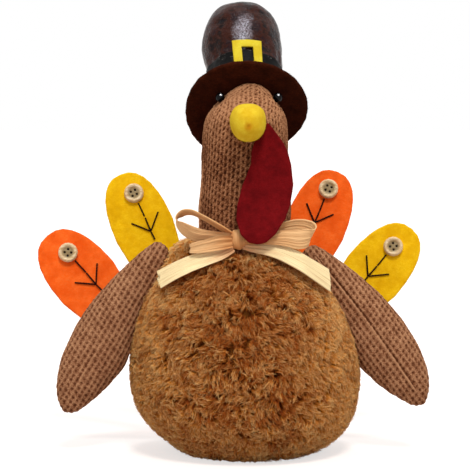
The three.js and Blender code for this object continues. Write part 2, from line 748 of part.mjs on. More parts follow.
function button() {
  const [r, t] = [buttonRadius, buttonThickness];
  const blank = turned([
    [0, 0], [r - t / 4, 0], [r, t / 3], [r, (2 * t) / 3], [r - buttonRim / 2, t], [r - buttonRim, t],
    [r - 2 * buttonRim, t - buttonDish], [0, t - buttonDish],
  ], 16);
  const holes = [0, 1, 2, 3].map((corner) => {
    const angle = (corner + 1 / 2) * quarterTurn;
    const out = Math.SQRT2 * buttonHoleSpacing;
    return disc(buttonHoleRadius, -t, 2 * t, 6)
      .translate(out * Math.cos(angle), out * Math.sin(angle), 0);
  });
  return cut(blank, ...holes);
}

function vein(stemShare) {
  const bar = (length) => new THREE.BoxGeometry(veinWidth, length, veinDepth)
    .translate(0, length / 2, veinDepth / 2);
  const stemLength = stemShare * veinStem;
  const fork = buttonRadius + veinGap + stemLength;
  const stem = bar(stemLength + veinTail).translate(0, -fork - veinTail, 0);
  const barbs = [-1, 1].map((sign) => bar(veinBarb).rotateZ(sign * radians(veinBarbAngle))
    .translate(0, -fork, 0));
  return joined(stem, ...barbs);
}

// How far back a feather's fan point goes so that its blade stands clear of the body's back,
// over its root's width and the lower half of its length
function featherSetBack(reach, shift, turn, lean) {
  let set = -Infinity;
  for (const along of [0, 0.1, 0.2, 0.3, 0.4, 0.5]) {
    const up = featherRootDistance + along * (reach - featherRootDistance);
    for (const across of [-1 / 2, 0, 1 / 2].map((share) => share * featherRootWidth + shift)) {
      const x = fanShift + up * Math.sin(turn) + across * Math.cos(turn);
      const slope = up * Math.cos(turn) - across * Math.sin(turn);
      const height = slope * Math.cos(lean);
      if (height < bodyHeight) {
        set = Math.max(set, bodyBackAt(x, height) - slope * Math.sin(lean));
      }
    }
  }
  return set + seatGap + featherThickness / Math.cos(lean);
}

function group(parent, x, y, z) {
  const made = new THREE.Group();
  made.position.set(x, y, z);
  parent.add(made);
  return made;
}

function buildFeather(feather) {
  const turn = radians(feather.turn);
  const lean = radians(featherLean);
  const reach = feather.reachShare * featherReach;
  const shift = feather.shiftShare * featherWidth;
  const fan = group(figure, fanShift, featherSetBack(reach, shift, turn, lean), 0);
  fan.rotation.x = quarterTurn - lean;
  const blade = group(fan, 0, 0, 0);
  blade.rotation.z = -turn;
  const petal = group(blade, shift, 0, 0);
  const outline = { depth: featherThickness, bevelEnabled: false };
  const leaf = closed(new THREE.ExtrudeGeometry(featherShape(feather), outline));
  add(`feather_${feather.place}`, leaf, feather.colour, petal);
  const face = group(petal, feather.asideShare * featherWidth, reach - feather.dropShare * featherWidth,
    featherThickness + seatGap);
  add(`button_${feather.place}`, button(), 'button', face);
  add(`vein_${feather.place}`, vein(feather.stemShare), 'thread', face);
}

buildBody();
buildNeck();
buildBeak();
buildWattle();
buildHat();
buildBow();
buildWings();
feathers.forEach(buildFeather);

export default figure;
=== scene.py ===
# %% [markdown]
# A stuffed turkey shelf figure, about 26 cm tall: a ball of curly fur fabric, a knitted neck and
# wings, felt tail feathers with wooden buttons, a raffia bow and a buckled hat.
#
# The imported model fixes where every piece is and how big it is. This script gives each piece the
# surface that the real one has. Most of that surface is real mesh, because fur, knit and felt
# show at the outline, where a bump in a material can't help.

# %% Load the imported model
import json
import math

import bmesh
import bpy
import numpy as np
from mathutils import Euler, Matrix, Vector, noise
from mathutils.bvhtree import BVHTree


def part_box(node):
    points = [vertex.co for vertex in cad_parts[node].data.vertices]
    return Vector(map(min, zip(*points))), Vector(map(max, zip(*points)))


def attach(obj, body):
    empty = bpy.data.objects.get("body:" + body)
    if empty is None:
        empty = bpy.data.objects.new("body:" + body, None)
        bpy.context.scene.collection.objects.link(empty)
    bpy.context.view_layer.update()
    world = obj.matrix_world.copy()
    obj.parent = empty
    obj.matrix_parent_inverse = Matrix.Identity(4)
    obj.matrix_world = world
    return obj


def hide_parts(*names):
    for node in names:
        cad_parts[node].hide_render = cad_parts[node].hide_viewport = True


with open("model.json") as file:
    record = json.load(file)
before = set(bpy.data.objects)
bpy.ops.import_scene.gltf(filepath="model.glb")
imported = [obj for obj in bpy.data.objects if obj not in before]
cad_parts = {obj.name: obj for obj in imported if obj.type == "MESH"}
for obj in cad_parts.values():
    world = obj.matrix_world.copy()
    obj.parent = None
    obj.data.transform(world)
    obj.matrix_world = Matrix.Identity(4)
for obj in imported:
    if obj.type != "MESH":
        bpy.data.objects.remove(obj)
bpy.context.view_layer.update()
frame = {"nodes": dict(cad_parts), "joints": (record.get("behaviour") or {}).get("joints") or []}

scene = bpy.context.scene
mm = 0.001
full_turn = 2 * math.pi

# %% [markdown]
# The camera comes first, because every later choice is judged through it. The picture was taken
# from a little above the figure's middle with a long lens: straight lines stay straight and the
# hat is not much smaller than the feet.

# %% Camera
aim = Vector((-5.75 * mm, 0, 125.93 * mm))
camera_distance = 1.1
camera_rise = math.radians(4)
to_camera = Vector((0, -math.cos(camera_rise), math.sin(camera_rise)))
lens = bpy.data.cameras.new("camera")
lens.sensor_fit = "HORIZONTAL"
lens.angle = math.radians(14)
camera = bpy.data.objects.new("camera", lens)
camera.location = aim + camera_distance * to_camera
camera.rotation_euler = (-to_camera).to_track_quat("-Z", "Y").to_euler()
scene.collection.objects.link(camera)
scene.camera = camera
print("camera at", [round(x, 3) for x in camera.location])

# %% [markdown]
# A material is a small network. These helpers put a node in a network, join its inputs and hand
# back what the next node needs, so that each finish below reads as a few plain lines. Colours are
# written as the usual six-digit codes and turned into the linear numbers that the shaders use.


# %% Helpers for materials
def paint(code):
    parts = [int(code[i:i + 2], 16) / 255 for i in (0, 2, 4)]
    return (*[c / 12.92 if c <= 0.04045 else ((c + 0.055) / 1.055) ** 2.4 for c in parts], 1)


def put(tree, kind, inputs=None, **settings):
    node = tree.nodes.new(kind)
    for name, value in settings.items():
        setattr(node, name, value)
    for name, value in (inputs or {}).items():
        if isinstance(value, bpy.types.NodeSocket):
            tree.links.new(value, node.inputs[name])
        else:
            node.inputs[name].default_value = paint(value) if isinstance(value, str) else value
    return node


def maths(tree, operation, first, second, clamp=False):
    inputs = {0: first, 1: second}
    return put(tree, "ShaderNodeMath", inputs, operation=operation, use_clamp=clamp).outputs[0]


def plus(tree, first, second):
    return maths(tree, "ADD", first, second)


def times(tree, first, second):
    return maths(tree, "MULTIPLY", first, second)


def vector_maths(tree, operation, first, second):
    inputs = {0: first, 1: second}
    return put(tree, "ShaderNodeVectorMath", inputs, operation=operation).outputs["Value"]


def mixed(tree, share, first, second):
    inputs = {0: share, 6: first, 7: second}
    return put(tree, "ShaderNodeMix", inputs, data_type="RGBA").outputs[2]


def kept_value(tree, name):
    """A number that is kept with each point of the mesh."""
    return put(tree, "ShaderNodeAttribute", attribute_name=name).outputs["Fac"]


def ramp(tree, share, *stops):
    """Colours by a share from 0 to 1; each stop is a place and a colour code."""
    node = put(tree, "ShaderNodeValToRGB", {0: share})
    places = node.color_ramp.elements
    while len(places) < len(stops):
        places.new(0.5)
    for place, (position, code) in zip(places, stops):
        place.position = position
        place.color = paint(code)
    return node.outputs[0]


def stretch(tree, share, low, high):
    inputs = {"Value": share, "From Min": low, "From Max": high}
    return put(tree, "ShaderNodeMapRange", inputs).outputs[0]


def object_place(tree, scale=(1, 1, 1), turn=(0, 0, 0)):
    place = put(tree, "ShaderNodeTexCoord").outputs["Object"]
    inputs = {"Vector": place, "Scale": scale, "Rotation": turn}
    return put(tree, "ShaderNodeMapping", inputs).outputs[0]


def clouds(tree, place, size, detail=3.0, roughness=0.55):
    """Soft noise from 0 to 1 with patches of this size, in metres."""
    inputs = {"Vector": place, "Scale": 1 / size, "Detail": detail, "Roughness": roughness}
    return put(tree, "ShaderNodeTexNoise", inputs).outputs[0]


def new_group(name, colours, others=()):
    """Node group that takes colours and vectors; returns its network and what it is given."""
    tree = bpy.data.node_groups.new(name, "ShaderNodeTree")
    for kind, sockets in (("NodeSocketColor", colours), ("NodeSocketVector", others)):
        for socket in sockets:
            tree.interface.new_socket(socket, in_out="INPUT", socket_type=kind)
    tree.interface.new_socket("Colour", in_out="OUTPUT", socket_type="NodeSocketColor")
    tree.interface.new_socket("Height", in_out="OUTPUT", socket_type="NodeSocketFloat")
    return tree, tree.nodes.new("NodeGroupInput").outputs


def close_group(tree, colour, height):
    put(tree, "NodeGroupOutput", {"Colour": colour, "Height": height})
    return tree


def use_group(tree, group, **inputs):
    """Group placed in a material; returns its colour and its height."""
    inputs = {name.replace("_", " ").capitalize(): value for name, value in inputs.items()}
    made = put(tree, "ShaderNodeGroup", inputs, node_tree=group).outputs
    return made["Colour"], made["Height"]


def new_material(name, **sockets):
    """Material with one Principled shader; returns it, its network and the shader."""
    material = bpy.data.materials.new(name)
    material.use_nodes = True
    tree = material.node_tree
    shader = tree.nodes["Principled BSDF"]
    for socket, value in sockets.items():
        shader.inputs[socket.replace("_", " ")].default_value = value
    return material, tree, shader


def finish_surface(tree, shader, colour, height=None, depth=0.0002, strength=0.5, rough=None):
    tree.links.new(colour, shader.inputs["Base Color"])
    if height is not None:
        inputs = {"Height": height, "Distance": depth, "Strength": strength}
        bump = put(tree, "ShaderNodeBump", inputs)
        tree.links.new(bump.outputs[0], shader.inputs["Normal"])
    if rough is not None:
        tree.links.new(rough, shader.inputs["Roughness"])


def two_tone(name, low, high, size, detail, depth, roughness=0.55, strength=0.5,
             place_scale=(1, 1, 1), **sockets):
    """Material whose colour wanders between two tones, with a bump from the same clouds."""
    material, tree, shader = new_material(name, **sockets)
    grain = clouds(tree, object_place(tree, place_scale), size, detail, roughness)
    finish_surface(tree, shader, ramp(tree, grain, low, high), grain, depth, strength)
    return material


# %% [markdown]
# The picture has a white ground that keeps only a faint warm shadow. The floor is a pale diffuse
# plane, and where the camera or a reflection looks at it or at the sky, a little white light is
# added by Light Path. That whitens the ground and leaves the light on the figure alone. Two broad
# suns and an even sky light it softly from the front, and a third one lights it from overhead.

# %% Ground, sky and lamps
scene.view_settings.view_transform = "Standard"


def seen_directly(tree):
    """1 where the camera, a reflection or glass looks, 0 for light that falls on the figure."""
    path = put(tree, "ShaderNodeLightPath").outputs
    total = plus(tree, path["Is Camera Ray"], path["Is Glossy Ray"])
    return maths(tree, "ADD", total, path["Is Transmission Ray"], clamp=True)


def build_sky(strength):
    world = bpy.data.worlds.new("sky")
    scene.world = world
    world.use_nodes = True
    tree = world.node_tree
    light = tree.nodes["Background"]
    light.inputs["Color"].default_value = (1, 0.985, 0.965, 1)
    light.inputs["Strength"].default_value = strength
    shown = put(tree, "ShaderNodeBackground", {"Color": (1, 1, 1, 1), "Strength": 1})
    inputs = {0: seen_directly(tree), 1: light.outputs[0], 2: shown.outputs[0]}
    both = put(tree, "ShaderNodeMixShader", inputs)
    tree.links.new(both.outputs[0], tree.nodes["World Output"].inputs["Surface"])


def build_floor(half_side):
    material = bpy.data.materials.new("floor")
    material.use_nodes = True
    tree = material.node_tree
    tree.nodes.remove(tree.nodes["Principled BSDF"])
    ground = put(tree, "ShaderNodeBsdfDiffuse", {"Color": (0.6, 0.53, 0.5, 1)})
    inputs = {"Strength": times(tree, seen_directly(tree), 0.66), "Color": (1, 0.985, 0.975, 1)}
    glow = put(tree, "ShaderNodeEmission", inputs)
    both = put(tree, "ShaderNodeAddShader", {0: ground.outputs[0], 1: glow.outputs[0]})
    tree.links.new(both.outputs[0], tree.nodes["Material Output"].inputs["Surface"])
    mesh = bpy.data.meshes.new("floor")
    corners = [(-1, -1), (1, -1), (1, 1), (-1, 1)]
    mesh.from_pydata([(x * half_side, y * half_side, 0) for x, y in corners], [], [(0, 1, 2, 3)])
    mesh.materials.append(material)
    floor = bpy.data.objects.new("floor", mesh)
    scene.collection.objects.link(floor)


def add_sun(name, strength, softness, height, side, colour):
    """Sun whose light comes from this height above the floor and this far to the right of front."""
    data = bpy.data.lights.new(name, "SUN")
    data.energy = strength
    data.angle = math.radians(softness)
    data.color = colour
    lamp = bpy.data.objects.new(name, data)
    lamp.rotation_euler = Euler((math.radians(90 - height), 0, math.radians(side)))
    scene.collection.objects.link(lamp)


build_sky(strength=0.47)
build_floor(half_side=12)
add_sun("key", 1.85, softness=14, height=54, side=10, colour=(1, 0.98, 0.95))
add_sun("fill", 0.35, softness=60, height=12, side=-16, colour=(1, 0.99, 0.98))
add_sun("top", 0.7, softness=12, height=92, side=0, colour=(0.96, 0.98, 1))

# %% [markdown]
# Meshes are made here as plain arrays of points and faces. A shape is a pair: the points, and a
# list of face arrays. Arrays are quick enough for a million strands of pile, and a shape can be
# moved, joined or measured before it becomes an object.


# %% Helpers for shapes
def lengths(vectors):
    return np.linalg.norm(vectors, axis=-1, keepdims=True)


def units(vectors):
    return vectors / np.maximum(lengths(vectors), 1e-12)


def wobble(points, size, seed):
    """Smooth noise from -1 to 1 at each point, with waves of this size in metres."""
    shift = Vector((seed * 3.7 + 0.3, seed * 5.3 + 0.7, seed * 7.9 + 0.1))
    flat = (np.asarray(points).reshape(-1, 3) / size).tolist()
    found = np.array([noise.noise(Vector(p) + shift) for p in flat])
    return found.reshape(np.asarray(points).shape[:-1])


def together(*shapes):
    points, faces, start = [], [], 0
    for shape_points, shape_faces in shapes:
        points.append(shape_points)
        faces += [face + start for face in shape_faces]
        start += len(shape_points)
    return np.concatenate(points), faces


# %% New piece
def new_piece(name, shape, material, body, stands_for=(), values=None, places=None):
    """Object from a shape; it rides on a CAD body and may stand for CAD nodes."""
    points, faces = shape
    mesh = bpy.data.meshes.new(name)
    mesh.vertices.add(len(points))
    mesh.vertices.foreach_set("co", np.asarray(points, np.float32).ravel())
    corners = np.concatenate([face.ravel() for face in faces]).astype(np.int32)
    sizes = np.concatenate([np.full(len(face), face.shape[1]) for face in faces])
    mesh.loops.add(len(corners))
    mesh.loops.foreach_set("vertex_index", corners)
    mesh.polygons.add(len(sizes))
    starts = np.concatenate([[0], np.cumsum(sizes)[:-1]]).astype(np.int32)
    mesh.polygons.foreach_set("loop_start", starts)
    mesh.update(calc_edges=True)
    mesh.shade_smooth()
    for key, numbers in (values or {}).items():
        layer = mesh.attributes.new(key, "FLOAT", "POINT")
        layer.data.foreach_set("value", np.asarray(numbers, np.float32))
    if places is not None:
        layer = mesh.uv_layers.new(name="OFBake")
        layer.uv.foreach_set("vector", np.asarray(places, np.float32)[corners].ravel())
    mesh.materials.append(material)
    piece = bpy.data.objects.new(name, mesh)
    scene.collection.objects.link(piece)
    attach(piece, body)
    if stands_for:
        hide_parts(*stands_for)
    print(name, len(mesh.vertices), "points", len(mesh.polygons), "faces")
    return piece


# %% [markdown]
# Felt is used for the beak, wattle, feathers, brim and buckle, so its look is one node group: a
# matted tangle of fine fibres over slow blotches. The group gives a colour and a height, and each
# material sets its own colours.


# %% Felt
def felt_group():
    tree, given = new_group("felt fibres", ("Colour", "Nap colour", "Dark colour"))
    tangle = clouds(tree, object_place(tree, (1, 0.45, 1), (0.6, 0.2, 0.9)), 0.7 * mm, 5, 0.7)
    crossing = clouds(tree, object_place(tree, (0.45, 1, 1), (0.1, 0.9, 0.3)), 0.9 * mm, 5, 0.7)
    fibres = times(tree, plus(tree, tangle, crossing), 0.5)
    blotch = clouds(tree, object_place(tree), 7 * mm, 2)
    nap = stretch(tree, fibres, 0.42, 0.68)
    base = mixed(tree, times(tree, nap, 0.9), given["Colour"], given["Nap colour"])
    shade = stretch(tree, blotch, 0.62, 0.3)
    final = mixed(tree, times(tree, shade, 0.65), base, given["Dark colour"])
    return close_group(tree, final, fibres)


felt_fibres = felt_group()


def felt(name, colour, nap, dark, sheen=0.03):
    material, tree, shader = new_material(name, Roughness=0.95, Sheen_Weight=sheen,
                                          Sheen_Roughness=0.5, Specular_IOR_Level=0.05)
    shader.inputs["Sheen Tint"].default_value = paint(nap)
    colour, height = use_group(tree, felt_fibres, colour=colour, nap_colour=nap, dark_colour=dark)
    finish_surface(tree, shader, colour, height, 0.35 * mm, 0.9)
    return material


felt_orange = felt("felt orange", "ff6519", "ff823b", "ea500a")
felt_yellow = felt("felt yellow", "f2bc04", "ffd42a", "dea000")
felt_lemon = felt("felt lemon", "dcc62c", "e8d650", "cca81c")
felt_red = felt("felt red", "6c0b0f", "80151a", "50070b", 0.01)
felt_brown = felt("felt brown", "300f05", "4a200e", "1a0702", 0.01)

# %% [markdown]
# A piece cut from felt is its CAD solid with the sharp corners worn round. A bevel would need clean
# edges to start from, so the solid is remeshed into small even cells and smoothed instead. Then it
# gets a slight unevenness and a nap of loose fibres, because felt is fuzzy at its outline. A
# fibre is a closed strand with three sides, which costs few faces and still has real volume.


# %% Softened solids
def softened(name, voxel, rounds):
    """A CAD node's shape with its corners worn round, as points, quads and normals."""
    source = bmesh.new()
    source.from_mesh(frame["nodes"][name].data)
    bmesh.ops.remove_doubles(source, verts=source.verts, dist=1e-6)
    mesh = bpy.data.meshes.new("scratch")
    source.to_mesh(mesh)
    source.free()
    blank = bpy.data.objects.new("scratch", mesh)
    scene.collection.objects.link(blank)
    remesh = blank.modifiers.new("remesh", "REMESH")
    remesh.mode = "VOXEL"
    remesh.voxel_size = voxel
    relax = blank.modifiers.new("relax", "SMOOTH")
    relax.factor = 0.5
    relax.iterations = rounds
    ready = blank.evaluated_get(bpy.context.evaluated_depsgraph_get()).to_mesh()
    points, normals = np.zeros((2, len(ready.vertices) * 3), np.float32)
    ready.vertices.foreach_get("co", points)
    ready.vertices.foreach_get("normal", normals)
    quads = np.array([tuple(face.vertices) for face in ready.polygons if len(face.vertices) == 4])
    bpy.data.objects.remove(blank)
    return points.reshape(-1, 3).astype(float), quads, normals.reshape(-1, 3).astype(float)


# %% Strands and nap
def strands(paths, radii):
    """Closed, tapered strands; paths holds a point, radii a radius for each strand and step."""
    count, steps = paths.shape[:2]
    along = units(np.gradient(paths, axis=1))
    side = units(np.cross(along, np.roll(units(paths[:, -1:] - paths[:, :1]), 1, -1) + 0.01))
    other = np.cross(along, side)
    corners = []
    for k in range(3):
        angle = full_turn * k / 3
        out = side * math.cos(angle) + other * math.sin(angle)
        corners.append(paths + out * radii[..., None])
    body = np.stack(corners, 2)[:, :-1].reshape(count, -1, 3)
    points = np.concatenate([body, paths[:, -1:]], 1)
    per = points.shape[1]
    sides = []
    for step in range(steps - 2):
        for k in range(3):
            low, next_low = step * 3 + k, step * 3 + (k + 1) % 3
            sides.append([low, next_low, next_low + 3, low + 3])
    last = (steps - 2) * 3
    tips = [[last + k, last + (k + 1) % 3, per - 1] for k in range(3)] + [[2, 1, 0]]
    starts = (np.arange(count) * per)[:, None, None]
    return points.reshape(-1, 3), [
        (starts + np.array(sides)[None]).reshape(-1, 4),
        (starts + np.array(tips)[None]).reshape(-1, 3),
    ]


def fuzz(points, normals, count, length, seed, thickness=0.03 * mm):
    """Loose fibres that stand out of felt at random, each bent over once."""
    chance = np.random.default_rng(seed)
    chosen = chance.integers(0, len(points), count)
    root, out = points[chosen], normals[chosen]
    lay = units(np.cross(out, chance.normal(size=(count, 3))))
    reach = length * chance.uniform(0.4, 1, (count, 1))
    points_along, root_depth = 4, 0.1 * mm
    steps = np.linspace(0, 1, points_along)[None, :, None]
    rise = 0.65 * np.sin(steps * 2)
    paths = root[:, None] + (out[:, None] * rise + lay[:, None] * steps) * reach[:, None]
    radii = thickness * np.linspace(1, 0.5, points_along)[None] * np.ones((count, 1))
    return strands(paths - out[:, None] * root_depth, radii)


# %% Felt pieces
def felt_piece(name, node, material, body, voxel, rounds, fibres, seed, uneven=0.12 * mm,
               grow=0.1 * mm):
    points, quads, normals = softened(node, voxel, rounds)
    points = points + normals * (grow + wobble(points, 5 * mm, seed) * uneven)[:, None]
    nap = fuzz(points, normals, fibres, 1.3 * mm, seed)
    shape = together((points, [quads]), nap)
    return new_piece(name, shape, material, body, (node,))


# %% [markdown]
# Stuffed pieces are grids: rings of points from one end to the other. On a grid it is easy to
# smooth, to push points out along their normals and to count the ribs of a knit. The grid of the
# body and of the neck comes from rays that are shot at the CAD solids from all round.


# %% Ring grids
def tube_grid(grid):
    """Closed shape from rings of points, with a fan over each end."""
    rings, around = grid.shape[:2]
    ring, step = np.meshgrid(np.arange(rings - 1), np.arange(around), indexing="ij")
    here = ring * around + step
    there = ring * around + (step + 1) % around
    sides = np.stack([here, there, there + around, here + around], -1).reshape(-1, 4)
    foot, head = rings * around, rings * around + 1
    first, last = np.arange(around), (rings - 1) * around + np.arange(around)
    foot_fan = np.stack([np.full(around, foot), np.roll(first, -1), first], -1)
    head_fan = np.stack([np.full(around, head), last, np.roll(last, -1)], -1)
    ends = np.stack([grid[0].mean(0), grid[-1].mean(0)])
    return np.concatenate([grid.reshape(-1, 3), ends]), [sides, foot_fan, head_fan]


def grid_normals(grid):
    """Outward normal at each point of a ring grid."""
    around = np.roll(grid, -1, 1) - np.roll(grid, 1, 1)
    along = np.gradient(grid, axis=0)
    return units(np.cross(around, along))


def pushed_out(grid, amount):
    """The same grid, moved along its normals by an amount for each point."""
    return grid + grid_normals(grid) * amount[..., None]


def outward(grid):
    """The same grid, counted round the way that makes its normals point out."""
    middle = grid.mean(1, keepdims=True)
    return grid if ((grid - middle) * grid_normals(grid)).sum() > 0 else grid[:, ::-1]


def smoothed(grid, rounds):
    """Ring grid with its points drawn towards their neighbours, but its end rings in place."""
    for _ in range(rounds):
        grid = (np.roll(grid, 1, 1) + 2 * grid + np.roll(grid, -1, 1)) / 4
        inner = (grid[:-2] + 2 * grid[1:-1] + grid[2:]) / 4
        grid = np.concatenate([grid[:1], inner, grid[-1:]])
    return grid


# %% Wrapping the solids
def solid_tree(*names):
    """Ray target made of CAD nodes."""
    points, faces = [], []
    for name in names:
        mesh = frame["nodes"][name].data
        start = len(points)
        points += [v.co.copy() for v in mesh.vertices]
        faces += [[start + i for i in face.vertices] for face in mesh.polygons]
    return BVHTree.FromPolygons(points, faces)


def wrap(names, foot, head, rings, around):
    """Outermost surface of CAD nodes round a line from foot to head, as a grid of rings.

    Rays come in from outside at every lean, from nearly straight up to nearly straight down, and
    at every angle round the line.
    """
    target = solid_tree(*names)
    foot, head = Vector(foot), Vector(head)
    axis = (head - foot).normalized()
    side = Vector((1, 0, 0)).cross(axis)
    side.normalize()
    other = axis.cross(side)
    ray_start = 0.5
    steepest = 0.48 * math.pi
    grid = np.zeros((rings, around, 3))
    for i, lean in enumerate(np.linspace(-steepest, steepest, rings)):
        start = foot.lerp(head, min(max(0.5 + lean / 1.6, 0), 1))
        for k in range(around):
            angle = full_turn * k / around
            out = (side * math.cos(angle) + other * math.sin(angle)) * math.cos(lean)
            out = out + axis * math.sin(lean)
            hit = target.ray_cast(start + out * ray_start, -out)[0]
            grid[i, k] = hit if hit else start
    return grid


# %% [markdown]
# The body is a ball of fur fabric with a curly pile about 6 mm deep. Its backing cloth is wrapped
# round the CAD solid and drawn in by the depth of the pile, but bulges on the left shoulder, where
# the wing and the bow push it up. The pile itself is real mesh: locks of seven wavy strands that
# rise, bend over along the lay and draw together towards their tips. A particle system would be
# quicker to set up, but mesh strands can be exported and keep their colour.

# %% Body backing and filling
pile_depth = 5.6 * mm
body_skin = wrap(["body_cover", "base_panel", "body_stuffing"], foot=(0, 0, 42 * mm),
                 head=(0, 0, 82 * mm), rings=72, around=96)
body_skin = outward(smoothed(body_skin, 2))


def bell(distance, width):
    """1 where the distance is 0, falling smoothly to nearly 0 at twice the width."""
    return np.exp(-(distance / width) ** 2)


def shoulder_share(points):
    """From 0 to 1 on the left shoulder, where the wing and the bow push the fur up."""
    share = bell(points[..., 0] + 33 * mm, 10 * mm)
    share = share * np.clip((points[..., 1] + 18 * mm) / (8 * mm), 0, 1)
    return share * np.clip((points[..., 2] - 86 * mm) / (12 * mm), 0, 1)


shoulder_rise = 3.6 * mm
backing = pushed_out(body_skin, shoulder_rise * shoulder_share(body_skin) - pile_depth)
weave = two_tone("fur backing", (0.3, "8a4a1c"), (0.7, "b0702f"), size=1.2 * mm, detail=4,
                 depth=0.3 * mm, Roughness=1.0, Specular_IOR_Level=0.1)
filling = two_tone("filling", (0.3, "d9d5cc"), (0.7, "faf8f3"), size=2.5 * mm, detail=6,
                   roughness=0.7, depth=1 * mm, strength=0.8, Roughness=1.0, Sheen_Weight=0.3)


def filling_piece(name, node, grid, share, body):
    """Lump of fibre that fills a cover: the cover's own shape made smaller and uneven."""
    middle = grid.mean((0, 1))
    lump = middle + (grid - middle) * share
    lump = pushed_out(lump, wobble(lump, 5 * mm, 91) * 0.4 * mm)
    piece = new_piece(name, tube_grid(lump), filling, body, (node,))


body_backing = new_piece("body_backing", tube_grid(backing), weave, "figure",
                         ("body_cover",))
filling_piece("body_filling", "body_stuffing", backing, 0.93, "figure")


# %% Roots of the pile
def sample_surface(grid, count, draw):
    """Points and normals spread evenly by area over a ring grid."""
    after = np.roll(grid, -1, 1)
    across, up = (after - grid)[:-1], (grid[1:] - grid[:-1])
    areas = lengths(np.cross(across, up)).ravel()
    cell = draw.choice(len(areas), count, p=areas / areas.sum())
    row, column = np.divmod(cell, grid.shape[1])
    u, v = draw.random((2, count, 1))
    normals = grid_normals(grid)
    next_column = (column + 1) % grid.shape[1]

    def blended(values):
        low = values[row, column] * (1 - u) + values[row, next_column] * u
        high = values[row + 1, column] * (1 - u) + values[row + 1, next_column] * u
        return low * (1 - v) + high * v

    return blended(grid), units(blended(normals))


lock_count = 25000
strands_in_lock = 7
draw = np.random.default_rng(11)
roots, root_normals = sample_surface(backing, lock_count, draw)
from_axis = np.hypot(roots[:, 0], roots[:, 1])
under_base = (roots[:, 2] < 9 * mm) & (from_axis < 25 * mm)
under_neck = (roots[:, 2] > 104 * mm) & (from_axis < 13 * mm)
kept = ~(under_base | under_neck)
roots, root_normals = roots[kept], root_normals[kept]

# What lies on the pile presses it down: the height that is free above each root
pressing = solid_tree("bow_tail_left", "bow_tail_right", "bow_loop_left_lower", "bow_loop_right",
                      "bow_loop_left_upper", "bow_knot", "neck_tie", "wing_cover_left",
                      "wing_cover_right", "neck_cover", "feather_left_outer",
                      "feather_left_inner", "feather_right_inner", "feather_right_outer")
open_height = 15 * mm
lowest_pile = 1.2 * mm
strand_room = 0.7 * mm
free = np.full(len(roots), open_height)
for i, (root, normal) in enumerate(zip(roots, root_normals)):
    hit = pressing.ray_cast(Vector(root), Vector(normal), open_height)
    if hit[0]:
        free[i] = max(hit[3] - strand_room, lowest_pile)

# A seam runs up the front from the base, and the pile lies low along it
seam_x, seam_half, seam_top, seam_pile = 14.2 * mm, 1.5 * mm, 16 * mm, 1.5 * mm
on_seam = (np.abs(roots[:, 0] - seam_x) < seam_half) & (roots[:, 1] < 0) & (roots[:, 2] < seam_top)
free[on_seam] = seam_pile
print("locks", len(roots), "pressed", int((free < pile_depth).sum()))


# %% Paths of the pile
strand_steps = 5
off_the_floor = 0.4 * mm
swirl_size = 9 * mm
broad_patch, fine_patch = 15 * mm, 3.6 * mm


def pile_paths():
    """Paths of all strands, and a tone for each one.

    The lay of a lock is a fall away from the middle, a slow swirl and a chance turn. Its tone is
    two sizes of patches, sides painted golden as painted rim light, a lighter foot and shoulder,
    and a chance part.
    """
    count = len(roots)
    sideways = np.clip(np.abs(roots[:, 0]) / (50 * mm), 0, 1)
    fall = np.stack([np.sign(roots[:, 0]) * sideways * 1.1, np.full(count, -0.1),
                     -0.35 - 0.5 * sideways], -1)
    swirl = np.stack([wobble(roots, swirl_size, seed) for seed in (1, 2, 3)], -1) * 1.25
    jitter = draw.normal(size=(count, 3)) * 0.34
    lay = fall + swirl + jitter
    lay = units(lay - root_normals * (lay * root_normals).sum(-1, keepdims=True))
    side = np.cross(root_normals, lay)
    low = np.clip(1 - roots[:, 2] / (16 * mm), 0, 1)
    shoulder = shoulder_share(roots)
    ruffle = 1 + 0.3 * low + 0.45 * shoulder
    height = np.minimum(free, pile_depth * draw.uniform(1.0, 1.26, count) * ruffle)
    reach = np.minimum(draw.uniform(3.6, 7.2, count) * mm, 1.7 * free)
    # Painted rim light: the tone is raised towards the left and right sides, where light catches
    # the pile at the outline.
    painted_rim_light = np.clip((np.abs(roots[:, 0] + 4 * mm) - 24 * mm) / (28 * mm), 0, 1)
    patch = 0.34 + 0.4 * wobble(roots, broad_patch, 4) + 0.6 * wobble(roots, fine_patch, 5)
    patch = patch + 0.6 * np.maximum(painted_rim_light, 1.5 * shoulder)
    patch = patch + 0.3 * np.clip(1.5 - roots[:, 2] / (20 * mm), 0, 1)
    patch = patch + draw.normal(size=count) * 0.26
    s = np.linspace(0, 1, strand_steps)
    rise = np.sin(s * 2.15)
    shape = (count, strands_in_lock, 1)
    spread = draw.normal(size=(count, strands_in_lock, 2)) * 0.62 * mm
    own_reach = reach[:, None, None] * draw.uniform(0.7, 1.2, shape)
    own_height = height[:, None, None] * draw.uniform(0.78, 1.05, shape)
    wave = draw.uniform(0.3, 0.85, shape) * mm
    phase = draw.uniform(0, full_turn, (count, 1, 1)) + draw.uniform(-1.1, 1.1, shape)
    turns = draw.uniform(4, 6.5, shape)
    gather = 1 - 0.5 * s[None, None] ** 1.5
    in_lay = spread[..., :1] * gather + own_reach * s ** 1.4 + wave * s * np.cos(phase + turns * s)
    in_side = spread[..., 1:] * gather + wave * s * np.sin(phase + turns * s)
    up = own_height * rise + 0.4 * wave * s * np.sin(phase * 2 + turns * s)
    paths = roots[:, None, None]
    for direction, amount in ((lay, in_lay), (side, in_side), (root_normals, up)):
        paths = paths + direction[:, None, None] * amount[..., None]
    paths[..., 2] = np.maximum(paths[..., 2], off_the_floor)
    tone = np.clip(patch[:, None] + draw.normal(size=(count, strands_in_lock)) * 0.17, 0, 1)
    return paths.reshape(-1, strand_steps, 3), tone.ravel()


# %% [markdown]
# The strands are cut into pieces of a size that the export can hold. Each point keeps two numbers,
# how far along the strand it is and the tone of its lock, and the material makes its colour from
# them, so one plain material serves all strands.


